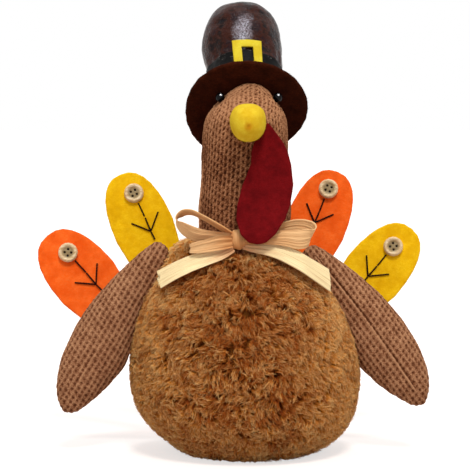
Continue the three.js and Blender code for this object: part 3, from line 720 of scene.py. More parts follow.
# %% Pile
def fur_material():
    """Dark at the root, caramel along the strand and pale at its tip; the tone moves all three."""
    # The pale tips are partly the fur's own colour and partly a painted highlight, and the roots
    # are painted brighter than their shade, as painted light glowing through the pile.
    material, tree, shader = new_material("fur", Roughness=0.6, Specular_IOR_Level=0.12)
    along = kept_value(tree, "along")
    tone = kept_value(tree, "tone")
    dark = ramp(tree, along, (0.1, "8e4213"), (0.55, "944311"), (0.95, "d07426"))
    light = ramp(tree, along, (0.1, "ce7c2f"), (0.55, "e8963a"), (0.95, "ffdf9c"))
    finish_surface(tree, shader, mixed(tree, tone, dark, light))
    return material


paths, tones = pile_paths()
half_width = 0.14 * mm * np.array([1, 1.2, 1.05, 0.75, 0.2])
fur = fur_material()
piece_count = 22
for i, chosen in enumerate(np.array_split(np.arange(len(paths)), piece_count)):
    shape = strands(paths[chosen], np.broadcast_to(half_width, (len(chosen), strand_steps)))
    along = np.append(np.repeat(np.linspace(0, 0.8, strand_steps - 1), 3), 1.0)
    along = np.tile(along, len(chosen))
    tone = np.repeat(tones[chosen], len(shape[0]) // len(chosen))
    new_piece(f"body_pile_{i + 1}", shape, fur, "figure",
              values={"along": along, "tone": tone}, places=np.stack([tone, along], -1))

# %% [markdown]
# Neck, head and wings are cut from two waffle knits. Ribs run lengthwise, bars of yarn cross
# between them, and each mesh leaves a small hole. The relief is worked out from two counts, ribs
# across and rows along, and pressed into an even grid, so that the knit shows at the outline too.
# The relief is also kept with the mesh, and the yarn's colour goes darker in the holes, as painted
# shade.


# %% Knit relief
def scatter(ribs, rows, seed):
    """A steady random number from 0 to 1 for each cell of the knit."""
    return np.modf(np.abs(np.sin(ribs * 12.9898 + rows * 78.233 + seed) * 43758.5453))[0]


def knit_relief(u, v, hole_wide, hole_tall, lean, slope):
    """Relief from 0 in a hole to 1 on the top of a rib, for counts of ribs u and of rows v."""
    column = np.round(u)
    shifted = v + slope * column
    row = np.round(shifted)
    across = u - column + 0.24 * (scatter(column, row, 1) - 0.5)
    down = shifted - row + 0.28 * (scatter(column, row, 2) - 0.5)
    size = 0.7 + 0.6 * scatter(column, row, 3)
    hole = np.exp(-((across - lean * down) / hole_wide) ** 2 - (down / (hole_tall * size)) ** 2)
    rib = 0.5 - 0.5 * np.cos(full_turn * (u + 0.13 * np.sin(full_turn * shifted)))
    bar = 0.5 - 0.5 * np.cos(full_turn * shifted)
    ply = np.sin(full_turn * (3 * shifted + 1.5 * np.abs(across))) * rib
    relief = 0.42 + 0.4 * rib + 0.2 * bar * (1 - rib) + 0.1 * ply
    relief = relief + 0.2 * (scatter(column, row, 4) - 0.5)
    return relief * (1 - 0.95 * hole * (0.55 + 0.45 * scatter(column, row, 5)))


def press_seam(grid, relief, distance, width, depth, weight):
    """A sewn line: a groove with a raised lip on one side; distance is across the line."""
    groove = bell(distance, width) * weight
    lip = bell(distance + 2.4 * width, 1.3 * width) * weight
    moved = pushed_out(grid, (lip * 0.7 - groove) * depth)
    # The relief is lowered in the groove and raised on the lip, so the yarn is painted darker in
    # the groove as painted shade and lighter on the lip as painted light.
    return moved, np.clip(relief - 0.6 * groove + 0.9 * lip, 0, 1.2)


# %% [markdown]
# The yarn's look is one node group, used for both knits. It takes the relief that is kept with the
# mesh, adds fine fibres and slow patches to it, and turns the sum into three tones: light on the
# ribs, partly a painted highlight, a middle one between them and a deep one in the holes, which
# is painted shade.


# %% Yarn
def yarn_group():
    tree, given = new_group("knit yarn", ("Light", "Middle", "Deep"))
    relief = kept_value(tree, "relief")
    fibres = clouds(tree, object_place(tree, (1, 1, 1.4)), 0.8 * mm, 4, 0.8)
    patch = clouds(tree, object_place(tree), 13 * mm, 2)
    uneven = plus(tree, times(tree, fibres, 2.3), times(tree, patch, 0.3))
    level = plus(tree, relief, maths(tree, "SUBTRACT", uneven, 1.3))
    # The light tone on the rib tops is partly a painted highlight; the deep tone is painted shade
    # in the holes.
    shallow = mixed(tree, stretch(tree, level, 0.5, 1.0), given["Middle"], given["Light"])
    final = mixed(tree, stretch(tree, level, 0.55, 0.15), shallow, given["Deep"])
    return close_group(tree, final, fibres)


knit_yarn = yarn_group()


def knit_material(name, light, middle, deep):
    material, tree, shader = new_material(name, Roughness=0.9, Specular_IOR_Level=0.06)
    colour, height = use_group(tree, knit_yarn, light=light, middle=middle, deep=deep)
    finish_surface(tree, shader, colour, height, 0.3 * mm, 0.8)
    return material


head_knit = knit_material("knit of the head", "c08b64", "76462b", "36190b")
wing_knit = knit_material("knit of the wings", "bf8e68", "845439", "58311d")


# %% Knit pieces
def knit_piece(name, node, body, grid, relief, depth, material):
    """Grid with its relief pressed in by this depth, as a stuffed cover."""
    uneven = wobble(grid, 14 * mm, 8) * 0.35 * mm
    raised = pushed_out(grid, (relief - 0.6) * depth + uneven)
    ends = [relief[0].mean(), relief[-1].mean()]
    piece = new_piece(name, tube_grid(raised), material, body, (node,),
                      {"relief": np.append(relief.ravel(), ends)})
    return piece


# %% Neck and head
neck_rib = 2.7 * mm
neck_row = 3.7 * mm
neck_foot = 134 * mm
head_middle = 188 * mm
row_points, rib_points = 7, 6


def respaced(grid, rings, around):
    """The same surface with evenly spaced points, counted anew."""
    closed = np.concatenate([grid, grid[:, :1]], 1)
    new_rings = []
    for ring in closed:
        run = np.concatenate([[0], np.cumsum(lengths(np.diff(ring, axis=0))[:, 0])])
        wanted = np.linspace(0, run[-1], around, endpoint=False)
        new_rings.append(np.stack([np.interp(wanted, run, ring[:, k]) for k in range(3)], -1))
    rows = np.stack(new_rings)
    steps = lengths(np.diff(rows, axis=0)).mean((1, 2))
    run = np.concatenate([[0], np.cumsum(steps)])
    wanted = np.linspace(0, run[-1], rings)
    low = np.clip(np.searchsorted(run, wanted, side="right") - 1, 0, len(run) - 2)
    part = ((wanted - run[low]) / (run[low + 1] - run[low]))[:, None, None]
    return rows[low] * (1 - part) + rows[low + 1] * part


def build_neck():
    """The sleeve from above the tie up, led straight down below it, behind the tie and the bow.

    The number of ribs is the same over the neck. Above it ribs are left out as the head closes,
    so that they keep their width. The neck's own twist is in slope. The knit over the head is
    stretched, so its holes are shallower, and it is painted lighter as painted light on the face;
    the knit below is painted a little darker as painted shade, and the seam on the left below the
    head is painted dark as the shade along the neck's left side.
    """
    skin = wrap(["neck_cover"], foot=(0, 0, neck_foot), head=(2.4 * mm, 0, head_middle),
                rings=64, around=88)
    first = int(np.flatnonzero(skin[..., 2].min(1) < neck_foot).max()) + 1
    drop = np.linspace(-26 * mm, 0, 14, endpoint=False)[:, None, None] * (0, 0, 1)
    skin = outward(smoothed(np.concatenate([skin[first] + drop, skin[first:]]), 5))
    girth = lengths(np.diff(skin, axis=1))[..., 0].sum(1)
    run = lengths(np.diff(skin, axis=0))[..., 0].sum(0).mean()
    ribs, rows = round(float(np.percentile(girth, 70)) / neck_rib), round(float(run) / neck_row)
    grid = smoothed(respaced(skin, rows * row_points + 1, ribs * rib_points), 2)
    v = np.linspace(0, rows, grid.shape[0])[:, None] + 0 * grid[..., 0]
    girth = lengths(grid - np.roll(grid, 1, 1)).sum((1, 2))
    row_girth = girth[np.clip(np.round(v[:, 0]).astype(int) * row_points, 0, len(girth) - 1)]
    count = np.where(row_girth < 0.8 * girth.max(), np.round(row_girth / neck_rib), ribs)
    count = np.where(grid[..., 2].mean(1) > 170 * mm, count, ribs)
    u = np.linspace(0, 1, grid.shape[1], endpoint=False)[None] * count[:, None]
    slope = round(0.345 * ribs) / ribs
    relief = knit_relief(u, v, hole_wide=0.2, hole_tall=0.31, lean=0.95, slope=slope)
    # Painted light and shade: the knit over the head is lifted to a lighter tone, and the rest is
    # lowered a little to a darker one.
    stretched = np.clip((grid[..., 2] - 176 * mm) / (20 * mm), 0, 1)
    relief = np.clip(relief + 0.28 * stretched - 0.1, 0, 1.3)
    # Painted shade: the seam's groove darkens the knit along the neck's left side below the head.
    below_head = np.clip((172 * mm - grid[..., 2]) / (12 * mm), 0, 1) * (grid[..., 0] < 0)
    grid, relief = press_seam(grid, relief, grid[..., 1] + 6 * mm, width=0.7 * mm,
                              depth=0.5 * mm, weight=below_head * 0.6)
    knit_piece("neck_knit", "neck_cover", "figure", grid, relief, depth=1.1 * mm,
               material=head_knit)
    print("neck foot", skin[0].mean(0), lengths(skin[3] - skin[3].mean(0)).mean())
    filling_piece("neck_filling", "neck_stuffing", skin, 0.84, "figure")


build_neck()

# %% [markdown]
# A wing is a stuffed leaf of knit, hung from a seam at the shoulder. Its outline follows the same
# sections as its CAD solid, in shares of the wing's size, with a smooth curve through them. The
# ribs stay parallel to the wing's axis and run out at its edges, as they do in cut fabric. Where
# a wing meets the body it is pressed flat against it.

# %% Wings
wing_length = 110.5 * mm
wing_width = 19 * mm
wing_depth = 10.5 * mm
wing_rib = 3.1 * mm
wing_row = 3.2 * mm
wing_seam_width = 0.4 * mm
root_blunt = 2.4 * mm
blunt_rings = 7
wing_shares = np.array([
    (0.0, 0.24, -0.3, 0.42), (0.05, 0.38, -0.44, 0.56), (0.12, 0.53, -0.5, 0.66),
    (0.2, 0.67, -0.52, 0.77), (0.3, 0.82, -0.55, 0.87), (0.42, 0.95, -0.64, 0.96),
    (0.53, 1, -0.78, 1), (0.62, 0.99, -0.87, 1), (0.72, 0.94, -0.81, 0.95),
    (0.82, 0.8, -0.66, 0.82), (0.91, 0.56, -0.46, 0.6), (0.97, 0.27, -0.28, 0.36),
    (1, 0.01, -0.01, 0.01),
])


def ring_angles(count):
    return np.linspace(0, full_turn, count, endpoint=False)


def curve_through(rows, count):
    """Smooth curve through rows of numbers, spaced evenly by the length of the first three."""
    steps = 16
    rows = np.array(rows, float)
    padded = np.concatenate([2 * rows[:1] - rows[1:2], rows, 2 * rows[-1:] - rows[-2:-1]])
    found = []
    for i in range(1, len(padded) - 2):
        a, b, c, d = padded[i - 1:i + 3]
        for t in np.linspace(0, 1, steps, endpoint=False):
            found.append(0.5 * (2 * b + (c - a) * t + (2 * a - 5 * b + 4 * c - d) * t ** 2
                                + (3 * b - a - 3 * c + d) * t ** 3))
    found = np.array(found + [rows[-1]])
    run = np.concatenate([[0], np.cumsum(lengths(np.diff(found[:, :3], axis=0))[:, 0])])
    wanted = np.linspace(0, run[-1], count)
    return np.stack([np.interp(wanted, run, found[:, k]) for k in range(rows.shape[1])], -1)


def shrunk(grid, inset):
    """Each ring drawn in towards its own middle by this much."""
    middle = grid.mean(1, keepdims=True)
    radius = lengths(grid - middle).mean(1, keepdims=True)
    return middle + (grid - middle) * np.maximum(1 - inset / np.maximum(radius, 1e-6), 0.05)


# %% [markdown]
# The wings rest against the body, and the solid of the body shows where its skin is. A point of a
# wing that lies inside it is moved straight out from the body's middle.

# %% Room for the body
body_tree = solid_tree("body_cover")
body_middle = Vector((0, 0, 62 * mm))
outside = 0.2


def off_the_body(grid, clearance):
    """Points of a grid that lie in the body, moved out to its skin."""
    moved = grid.reshape(-1, 3).copy()
    for i, point in enumerate(moved):
        out = (Vector(point) - body_middle).normalized()
        hit = body_tree.ray_cast(body_middle + out * outside, -out)[0]
        if hit:
            low = (hit - body_middle).length + clearance
            if (Vector(point) - body_middle).length < low:
                moved[i] = body_middle + out * low
    return moved.reshape(grid.shape)


# %% Wing skins
def wing_grid(sign, root, spread, rings, around):
    """Skin of a wing, and how far each point is from its axis round the skin, and along it."""
    along = np.array((sign * math.sin(spread), 0, -math.cos(spread)))
    across = np.array((sign * math.cos(spread), 0, math.sin(spread)))
    sizes = np.array((wing_length, wing_width, wing_width, wing_depth))
    rows = curve_through(wing_shares * sizes, rings)
    turn = np.linspace(1, 0, blunt_rings + 1)[:-1, None] * math.pi / 2
    blunt = np.repeat(rows[:1], blunt_rings, 0) * np.array((1, 0, 0, 0))
    blunt[:, 0] = -root_blunt * np.sin(turn[:, 0])
    blunt[:, 1:] = rows[:1, 1:] * np.cos(turn) + 1e-5
    rows = np.concatenate([blunt, rows])
    angle = ring_angles(around)[None]
    distance, outer, inner, depth = rows.T[..., None]
    side = (outer + inner) / 2 + (outer - inner) / 2 * np.cos(angle)
    off = depth * np.sin(angle)
    grid = (np.array(root) + along * distance[..., None] + across * side[..., None]
            + np.array((0, 1, 0)) * off[..., None])
    steps = lengths(np.roll(grid, -1, 1) - grid)[..., 0]
    run = np.cumsum(steps, 1) - steps
    run = run - run[:, around * 3 // 4][:, None]
    whole = steps.sum(1, keepdims=True)
    round_the_edge = (run + whole / 2) % whole - whole / 2
    return grid, (outer + inner) / 2 + round_the_edge, distance + 0 * side


def build_wing(side, root, spread, seam_at, seam_reach, seam_depth, seam_weight):
    """Wing on its shoulder; seam_at gives the seam's place across for a distance along."""
    sign = -1 if side == "left" else 1
    grid, across, distance = wing_grid(sign, root, spread, 250, 190)
    flat = off_the_body(grid, 0.5 * mm)
    if flat is not outward(flat):
        flat, across, distance = flat[:, ::-1], across[:, ::-1], distance[:, ::-1]
    flat = smoothed(flat, 2)
    relief = knit_relief(across / wing_rib, distance / wing_row, hole_wide=0.22, hole_tall=0.22,
                         lean=0.25, slope=0.3)
    front = flat[..., 1] < root[1] + 1 * mm
    low, high = seam_reach
    inside_reach = np.clip(np.minimum(distance - low, high - distance) / (5 * mm), 0, 1)
    flat, relief = press_seam(flat, relief, across - seam_at(distance), wing_seam_width,
                              seam_depth, front * inside_reach * seam_weight)
    edge = bell(flat[..., 1] - root[1], 0.7 * mm) * np.clip(distance / (8 * mm), 0, 1)
    relief = np.clip(relief - 0.3 * edge, 0, 1)
    knit_piece(f"wing_{side}", f"wing_cover_{side}", f"wing_{side}", flat, relief, depth=1 * mm,
               material=wing_knit)
    inside = wing_grid(sign, root, spread, 70, 48)[0]
    filling_piece(f"wing_filling_{side}", f"wing_stuffing_{side}",
                  outward(off_the_body(shrunk(inside, 1 * mm), 2.5 * mm)), 0.85, f"wing_{side}")


build_wing("left", root=(-48.51 * mm, -4 * mm, 119.07 * mm), spread=math.radians(30.3),
           seam_at=lambda distance: 3 * mm + 0 * distance, seam_reach=(68 * mm, 94 * mm),
           seam_depth=0.2 * mm, seam_weight=0.25)
build_wing("right", root=(37.22 * mm, -4 * mm, 117 * mm), spread=math.radians(36.6),
           seam_at=lambda distance: mm + 2.5 * mm * np.sin(distance / wing_length * math.pi),
           seam_reach=(2 * mm, 102 * mm), seam_depth=0.6 * mm, seam_weight=0.7)

# %% [markdown]
# The beak is a small felt bag of filling: broad and nearly flat at its top, narrower towards the
# bottom, and rubbed orange at its tip. Its rings are rounded squares, worked out from a list of
# radius and distance along in shares of the beak's size. The nap is left off the rings that are
# sewn to the face. Its material mixes an orange smudge into the felt's own colour by the distance
# from the tip.

# %% Beak
beak_root = Vector((1.5 * mm, -21 * mm, 191 * mm))
beak_radius = 9.9 * mm
beak_length = 27.5 * mm
beak_droop = math.radians(2.5)
first_napped = 14
beak_shares = np.array([
    (0.97, 0), (1, 0.2), (1, 0.38), (0.97, 0.54), (0.88, 0.7), (0.72, 0.83), (0.48, 0.93),
    (0.22, 0.985), (0.01, 1),
])
smudge_centre = Vector((1.8 * mm, -48 * mm, 188.6 * mm))


def beak_material():
    material, tree, shader = new_material("felt beak", Roughness=0.95, Specular_IOR_Level=0.05)
    colour, height = use_group(tree, felt_fibres, colour="e4c42a", nap_colour="f0d648",
                               dark_colour="d8a818")
    place = put(tree, "ShaderNodeTexCoord").outputs["Object"]
    off = vector_maths(tree, "DISTANCE", place, smudge_centre)
    ragged = plus(tree, off, times(tree, clouds(tree, place, 1.5 * mm), 2.4 * mm))
    rubbed = stretch(tree, ragged, 4.2 * mm, 1.6 * mm)
    colour = mixed(tree, times(tree, rubbed, 0.65), colour, "e08c0c")
    finish_surface(tree, shader, colour, height, 0.35 * mm, 0.8)
    return material


def build_beak():
    rows = curve_through(np.append(beak_shares, beak_shares[:, :1] * 0, 1), 60)
    angle = ring_angles(96)[None]
    wide, tall = np.cos(angle), np.sin(angle)
    squareness = (np.abs(wide) ** 2.5 + np.abs(tall) ** 2.5) ** (-1 / 2.5)
    narrow = 1.02 + 0.03 * tall - 0.14 * np.clip(-tall, 0, 1) ** 1.5
    radius = rows[:, :1] * beak_radius
    x = radius * squareness * wide * narrow * 0.985
    z = radius * squareness * tall * 1.05
    along = rows[:, 1:2] * beak_length
    grid = outward(np.stack([beak_root.x + x, beak_root.y - along + 0 * x,
                             beak_root.z + z - along * math.tan(beak_droop)], -1))
    grid = pushed_out(grid, wobble(grid, 6 * mm, 21) * 0.3 * mm)
    skin, out = (part[first_napped:].reshape(-1, 3) for part in (grid, grid_normals(grid)))
    shape = together(tube_grid(grid), fuzz(skin, out, count=1600, length=1 * mm, seed=22))
    piece = new_piece("beak", shape, beak_material(), "figure", ("beak_cover",))
    filling_piece("beak_filling", "beak_stuffing", grid, 0.82, "figure")


build_beak()

# %% [markdown]
# The wattle is one flat flap of red felt, stitched under the beak, that hangs over the bow. The
# CAD solid has its outline already, so it only needs the soft edge and the nap of felt.

# %% Wattle
wattle = felt_piece("wattle_flap", "wattle", felt_red, "wattle_flap",
                    voxel=0.5 * mm, rounds=3, fibres=1500, seed=31)

# %% [markdown]
# The eyes are glossy black beads, each on a shank that goes through the knit. A bead is turned
# from a profile. The lamps are too soft to leave a sharp highlight on so small a ball, so a
# painted highlight is put in the material: a pale spot on the part of the surface that faces
# forward and up.

# %% Eyes
eye_radius = 2.8 * mm
eye_sunk = 0.6 * mm
shank_radius = 0.8 * mm
shank_end = 6.4 * mm


def bead_material():
    material, tree, shader = new_material("bead", Roughness=0.05, Specular_IOR_Level=0.12)
    normal = put(tree, "ShaderNodeTexCoord").outputs["Normal"]
    highlight_facing = vector_maths(tree, "DOT_PRODUCT", normal, Vector((0.15, -0.83, 0.53)).normalized())
    swirl = clouds(tree, object_place(tree), 1.5 * mm, 2)
    glass = ramp(tree, swirl, (0.3, "010102"), (0.8, "040404"))
    # Painted highlight: the glass is painted pale where it faces forward and up.
    point = stretch(tree, highlight_facing, 0.966, 0.986)
    finish_surface(tree, shader, mixed(tree, point, glass, "e6eaf0"))
    return material


bead = bead_material()


def turned_shape(profile, around, centre, axis):
    """Round shape from pairs of radius and distance along the axis."""
    axis = Vector(axis).normalized()
    side = axis.orthogonal().normalized()
    other = axis.cross(side)
    angles = ring_angles(around)
    ring = np.cos(angles)[:, None] * np.array(side) + np.sin(angles)[:, None] * np.array(other)
    radii, places = np.array(profile).T
    grid = ring[None] * radii[:, None, None] + np.array(axis) * places[:, None, None]
    return tube_grid(outward(grid + np.array(centre)))


def build_eye(side):
    low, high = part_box(f"eye_{side}")
    out = -1 if side == "left" else 1
    x = low.x + eye_radius if side == "left" else high.x - eye_radius
    centre = Vector((x - out * eye_sunk, low.y + eye_radius, high.z - eye_radius))
    axis = Vector((out * 0.66, -0.12, 0.74))
    turns = np.linspace(0.02, math.pi - 0.3, 24)
    ball = [(eye_radius * math.sin(t), eye_radius * math.cos(t)) for t in turns]
    shank = [(shank_radius, -eye_radius), (shank_radius, -shank_end)]
    shape = turned_shape(ball + shank, 40, centre, axis)
    new_piece(f"bead_{side}", shape, bead, "figure", (f"eye_{side}",))


build_eye("left")
build_eye("right")

# %% [markdown]
# The hat leans back on the head. Its crown, band and buckle are made in the hat's own frame,
# where the crown's axis is an arc, as it is in the CAD: a distance along that arc, a distance out
# from it and an angle give any point.

# %% Hat frame
hat_seat = Vector((1 * mm, 12 * mm, 198.7 * mm))
hat_tilt = math.radians(48.5)
hat_frame = Matrix.Translation(hat_seat) @ Matrix.Rotation(-hat_tilt, 4, "X")
crown_radius = 22.4 * mm
crown_length = 71.5 * mm
crown_bend = math.radians(35)
crown_shift = -2.2 * mm
crown_start = 1.3 * mm
band_width = 24.5 * mm
front_angle = -math.pi / 2
crown_shares = np.array([
    (1, 0), (1.01, 0.12), (1.04, 0.3), (1.06, 0.46), (1.05, 0.6), (1.0, 0.72), (0.92, 0.82),
    (0.79, 0.9), (0.6, 0.958), (0.33, 0.99), (0.02, 1),
])


def crown_points(along, out, angle):
    """Points on the bent crown, from arrays that fit one another."""
    along, out, angle = np.broadcast_arrays(along, out, angle)
    curve = crown_length / crown_bend
    bend = crown_bend * along / crown_length
    back = out * np.sin(angle)
    local = np.stack([
        crown_shift + out * np.cos(angle),
        -curve * (1 - np.cos(bend)) + back * np.cos(bend),
        crown_start + curve * np.sin(bend) + back * np.sin(bend),
    ], -1)
    return local @ np.array(hat_frame.to_3x3()).T + np.array(hat_frame.translation)


def crown_radius_at(along):
    return np.interp(along / crown_length, crown_shares[:, 1], crown_shares[:, 0]) * crown_radius


def lean_left(along, places):
    """Unevenness of the stuffing, in mm: a bulge at the left above a band that is drawn in."""
    left = np.clip(-(places[..., 0] - hat_seat.x) / (20 * mm), 0, 1)
    right = np.clip((places[..., 0] - hat_seat.x) / (20 * mm), 0, 1)
    bulge = 0.9 * bell(along - 50 * mm, 11 * mm) - 0.5 * np.clip(along / (30 * mm) - 1.4, 0, 1)
    low = np.clip((48 * mm - along) / (24 * mm), 0, 1)
    return left ** 1.5 * (bulge - 3.2 * low ** 2 * (3 - 2 * low)) - 0.7 * right


def crown_outline(rings):
    """Evenly spaced pairs of distance along and radius, on a smooth curve through the shares."""
    pairs = crown_shares[:, ::-1] * np.array((crown_length, crown_radius))
    found = curve_through(np.append(pairs, pairs[:, :1] * 0, 1), rings)
    return found[:, 0], np.maximum(found[:, 1], 0.1 * mm)


# %% [markdown]
# The crown is a stuffed tube of distressed imitation leather: dark brown, rubbed towards plum and
# grey on its high places, with a painted highlight of two pale spots at the front. Dents and the
# small puckers above the band are mesh; the grain, the wear and the painted highlight are in the
# material.


# %% Crown
painted_highlight_spots = ((Vector((-1, 10, 246)) * mm, 8 * mm), (Vector((-2, 4, 237)) * mm, 4.5 * mm))
highlight_shape = Vector((1, 0.3, 0.6))


def leather_material():
    material, tree, shader = new_material("hat leather", Specular_IOR_Level=0.07)
    place = object_place(tree)
    brushed = clouds(tree, object_place(tree, (0.35, 1, 1), (0.7, 0.1, 0)), 3.2 * mm, 6, 0.7)
    patches = clouds(tree, place, 11 * mm, 5, 0.6)
    specks = clouds(tree, place, 0.8 * mm, 4, 0.75)
    blend = plus(tree, times(tree, patches, 0.55), times(tree, brushed, 0.45))
    base = ramp(tree, blend, (0.38, "161115"), (0.45, "23130f"), (0.51, "3b1b12"),
                (0.58, "1f1217"), (0.66, "251818"))
    worn = plus(tree, brushed, times(tree, specks, 0.5))
    rubbed = stretch(tree, worn, 0.76, 1.0)
    colour = mixed(tree, times(tree, rubbed, 0.22), base, "7a5a52")
    # Painted highlight: two pale, speckled spots at the front stand in for the lamp's reflection on
    # the leather.
    for spot, reach in painted_highlight_spots:
        squeezed = object_place(tree, highlight_shape)
        off = vector_maths(tree, "DISTANCE", squeezed, spot * highlight_shape)
        ragged = plus(tree, times(tree, brushed, 0.8), times(tree, patches, 1.6))
        off = plus(tree, off, times(tree, ragged, reach))
        near = stretch(tree, off, 2.2 * reach, 1.2 * reach)
        painted_highlight = times(tree, near, stretch(tree, specks, 0.4, 0.6))
        colour = mixed(tree, times(tree, painted_highlight, 0.95), colour, "e0e0f0")
    rough = stretch(tree, worn, 0.3, 1.5)
    rough = plus(tree, times(tree, rough, 0.35), 0.1)
    pebbles = put(tree, "ShaderNodeTexVoronoi", {"Vector": place, "Scale": 1 / (1.3 * mm)})
    height = plus(tree, times(tree, pebbles.outputs[0], 0.8), worn)
    finish_surface(tree, shader, colour, height, 0.35 * mm, 0.7, rough)
    return material


def build_crown():
    along, radius = crown_outline(110)
    along, radius = along[:, None], radius[:, None]
    angle = ring_angles(150)[None]
    grid = outward(crown_points(along, radius, angle))
    dents = 0.7 * wobble(grid, 19 * mm, 41) + 0.5 * wobble(grid, 8 * mm, 42)
    dents = dents + 0.22 * wobble(grid, 3.2 * mm, 43)
    pucker = bell(along - band_width, 9 * mm) * np.cos(17 * angle + 2 * np.sin(3 * angle))
    lift = dents + 0.3 + 0.3 * pucker + lean_left(along, grid)
    lift = lift * np.clip((along - 1 * mm) / (6 * mm), 0, 1)
    piece = new_piece("crown", tube_grid(pushed_out(grid, lift * mm)), leather_material(), "figure",
                      ("crown_cover",))
    filling_piece("crown_filling", "crown_stuffing", grid, 0.86, "figure")


build_crown()

# %% [markdown]
# The band is black satin ribbon, glued round the foot of the crown. It follows the crown's own
# surface a little way out, with an outer and an inner face, so it is one closed loop of strip.
# Threads and folds in the material both run round the hat.


# %% Band
def satin_material():
    material, tree, shader = new_material("satin", Specular_IOR_Level=0.08)
    turn = (math.radians(-40), 0.1, 0)
    threads = clouds(tree, object_place(tree, (0.12, 1, 1), turn), 0.6 * mm, 3)
    folds = clouds(tree, object_place(tree, (0.5, 1, 1), turn), 4 * mm, 3)
    # Painted reflection: where threads and folds meet, pale streaks stand in for light shining off
    # the satin.
    painted_shine = stretch(tree, times(tree, threads, folds), 0.33, 0.42)
    base = ramp(tree, folds, (0.35, "020202"), (0.7, "0b0908"))
    colour = mixed(tree, times(tree, painted_shine, 0.5), base, "8d8a86")
    rough = stretch(tree, folds, -0.6, 1.4)
    finish_surface(tree, shader, colour, threads, 0.15 * mm, 0.6, rough)
    return material


def ring_grid(grid):
    """Closed shape from a grid whose rows and columns both come back to their start."""
    rows, columns = grid.shape[:2]
    row, column = np.meshgrid(np.arange(rows), np.arange(columns), indexing="ij")
    next_row, next_column = (row + 1) % rows, (column + 1) % columns
    corners = [row * columns + column, row * columns + next_column,
               next_row * columns + next_column, next_row * columns + column]
    return grid.reshape(-1, 3), [np.stack(corners, -1).reshape(-1, 4)]


def build_band():
    along = np.linspace(0.2 * mm, band_width, 42)[:, None]
    angle = ring_angles(220)[None]
    places = crown_points(along, crown_radius, angle)
    wave = 0.3 * wobble(places, 9 * mm, 51) + 0.14 * wobble(places, 3 * mm, 52)
    wave = wave + lean_left(along, places)
    top = np.clip((along - band_width + 2 * mm) / (2 * mm), 0, 1)
    wave = (wave + 0.25 * top * np.cos(9 * angle)) * mm
    radius = crown_radius_at(along) + wave
    outer, inner = (crown_points(along, radius + off, angle) for off in (1.5 * mm, 0.9 * mm))
    new_piece("hat_ribbon", ring_grid(np.concatenate([outer, inner[::-1]])[::-1]),
              satin_material(), "figure", ("hat_band",))


build_band()

# %% [markdown]
# The brim is softened from its CAD solid. The buckle is a thin felt frame that is glued over the
# band, so it is laid on the crown's surface: a closed strip led round a rectangle, with its four
# long edges given by a place across the front and a distance along the crown.

# %% Brim and buckle
brim = felt_piece("hat_brim", "brim", felt_brown, "figure", voxel=0.55 * mm,
                  rounds=3, fibres=3500, seed=61, uneven=0.3 * mm, grow=0.35 * mm)
buckle_width = 15.3 * mm
buckle_height = 26 * mm
buckle_bar = 4.8 * mm
buckle_cap = 6.4 * mm
buckle_rise = 19.7 * mm
buckle_shift = 2.6 * mm
buckle_turn = math.radians(3)

# Share of the way from the outer to the inner edge, and lift from the crown in mm
buckle_section = [(0, 1.7), (0.04, 2.45), (0.12, 2.6), (0.3, 2.62), (0.5, 2.6), (0.7, 2.62),
                  (0.88, 2.6), (0.96, 2.45), (1, 1.7), (0.5, 1.65)]


def rectangle(width, height, count):
    """Evenly counted points on a rectangle, starting at its lower left corner."""
    corners = np.array([(-1, -1), (1, -1), (1, 1), (-1, 1), (-1, -1)])
    corners = corners * np.array((width, height)) / 2
    where = np.linspace(0, 4, count, endpoint=False)
    return np.stack([np.interp(where, range(5), corners[:, k]) for k in (0, 1)], -1)


def build_buckle():
    count = 160
    outer = rectangle(buckle_width, buckle_height, count)
    inner = rectangle(buckle_width - 2 * buckle_bar, buckle_height - 2 * buckle_cap, count)
    sine, cosine = math.sin(buckle_turn), math.cos(buckle_turn)
    spin = np.array([[cosine, -sine], [sine, cosine]])
    rings = []
    for share, lift in buckle_section:
        flat = (outer * (1 - share) + inner * share) @ spin.T
        along = buckle_rise + flat[:, 1]
        angle = front_angle + (buckle_shift + flat[:, 0]) / crown_radius
        rings.append(crown_points(along, crown_radius_at(along) + lift * mm, angle))
    grid = np.stack(rings, 1)
    grid = pushed_out(grid, wobble(grid, 3 * mm, 62) * 0.08 * mm)
    top = grid[:, 2:7].reshape(-1, 3)
    faces_front = (hat_frame.to_3x3() @ Vector((0, -1, 0.2))).normalized()
    out = np.tile(np.array(faces_front), (len(top), 1))
    nap = fuzz(top, out, count=260, length=0.7 * mm, seed=63, thickness=0.02 * mm)
    shape = together(ring_grid(grid[:, ::-1]), nap)
    new_piece("hat_buckle", shape, felt_lemon, "figure", ("buckle",))


build_buckle()

# %% [markdown]
# The bow is one ribbon of paper raffia. Its fibres run lengthwise, so the ribbon is modelled as a
# strip with fine ridges along it, cupped a little across, and the two tails end in a torn and a
# cut edge. Each strand follows the same points as its CAD solid, in shares of the ribbon's width.

# %% Raffia
raffia_width = 11 * mm
raffia_thickness = 0.7 * mm
knot_low, knot_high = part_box("bow_knot")
knot_half = Vector((5.2 * mm, 4.6 * mm, 6 * mm))
knot_place = Vector(((knot_low.x + knot_high.x) / 2, knot_low.y + knot_half.y,
                     knot_high.z - knot_half.z))

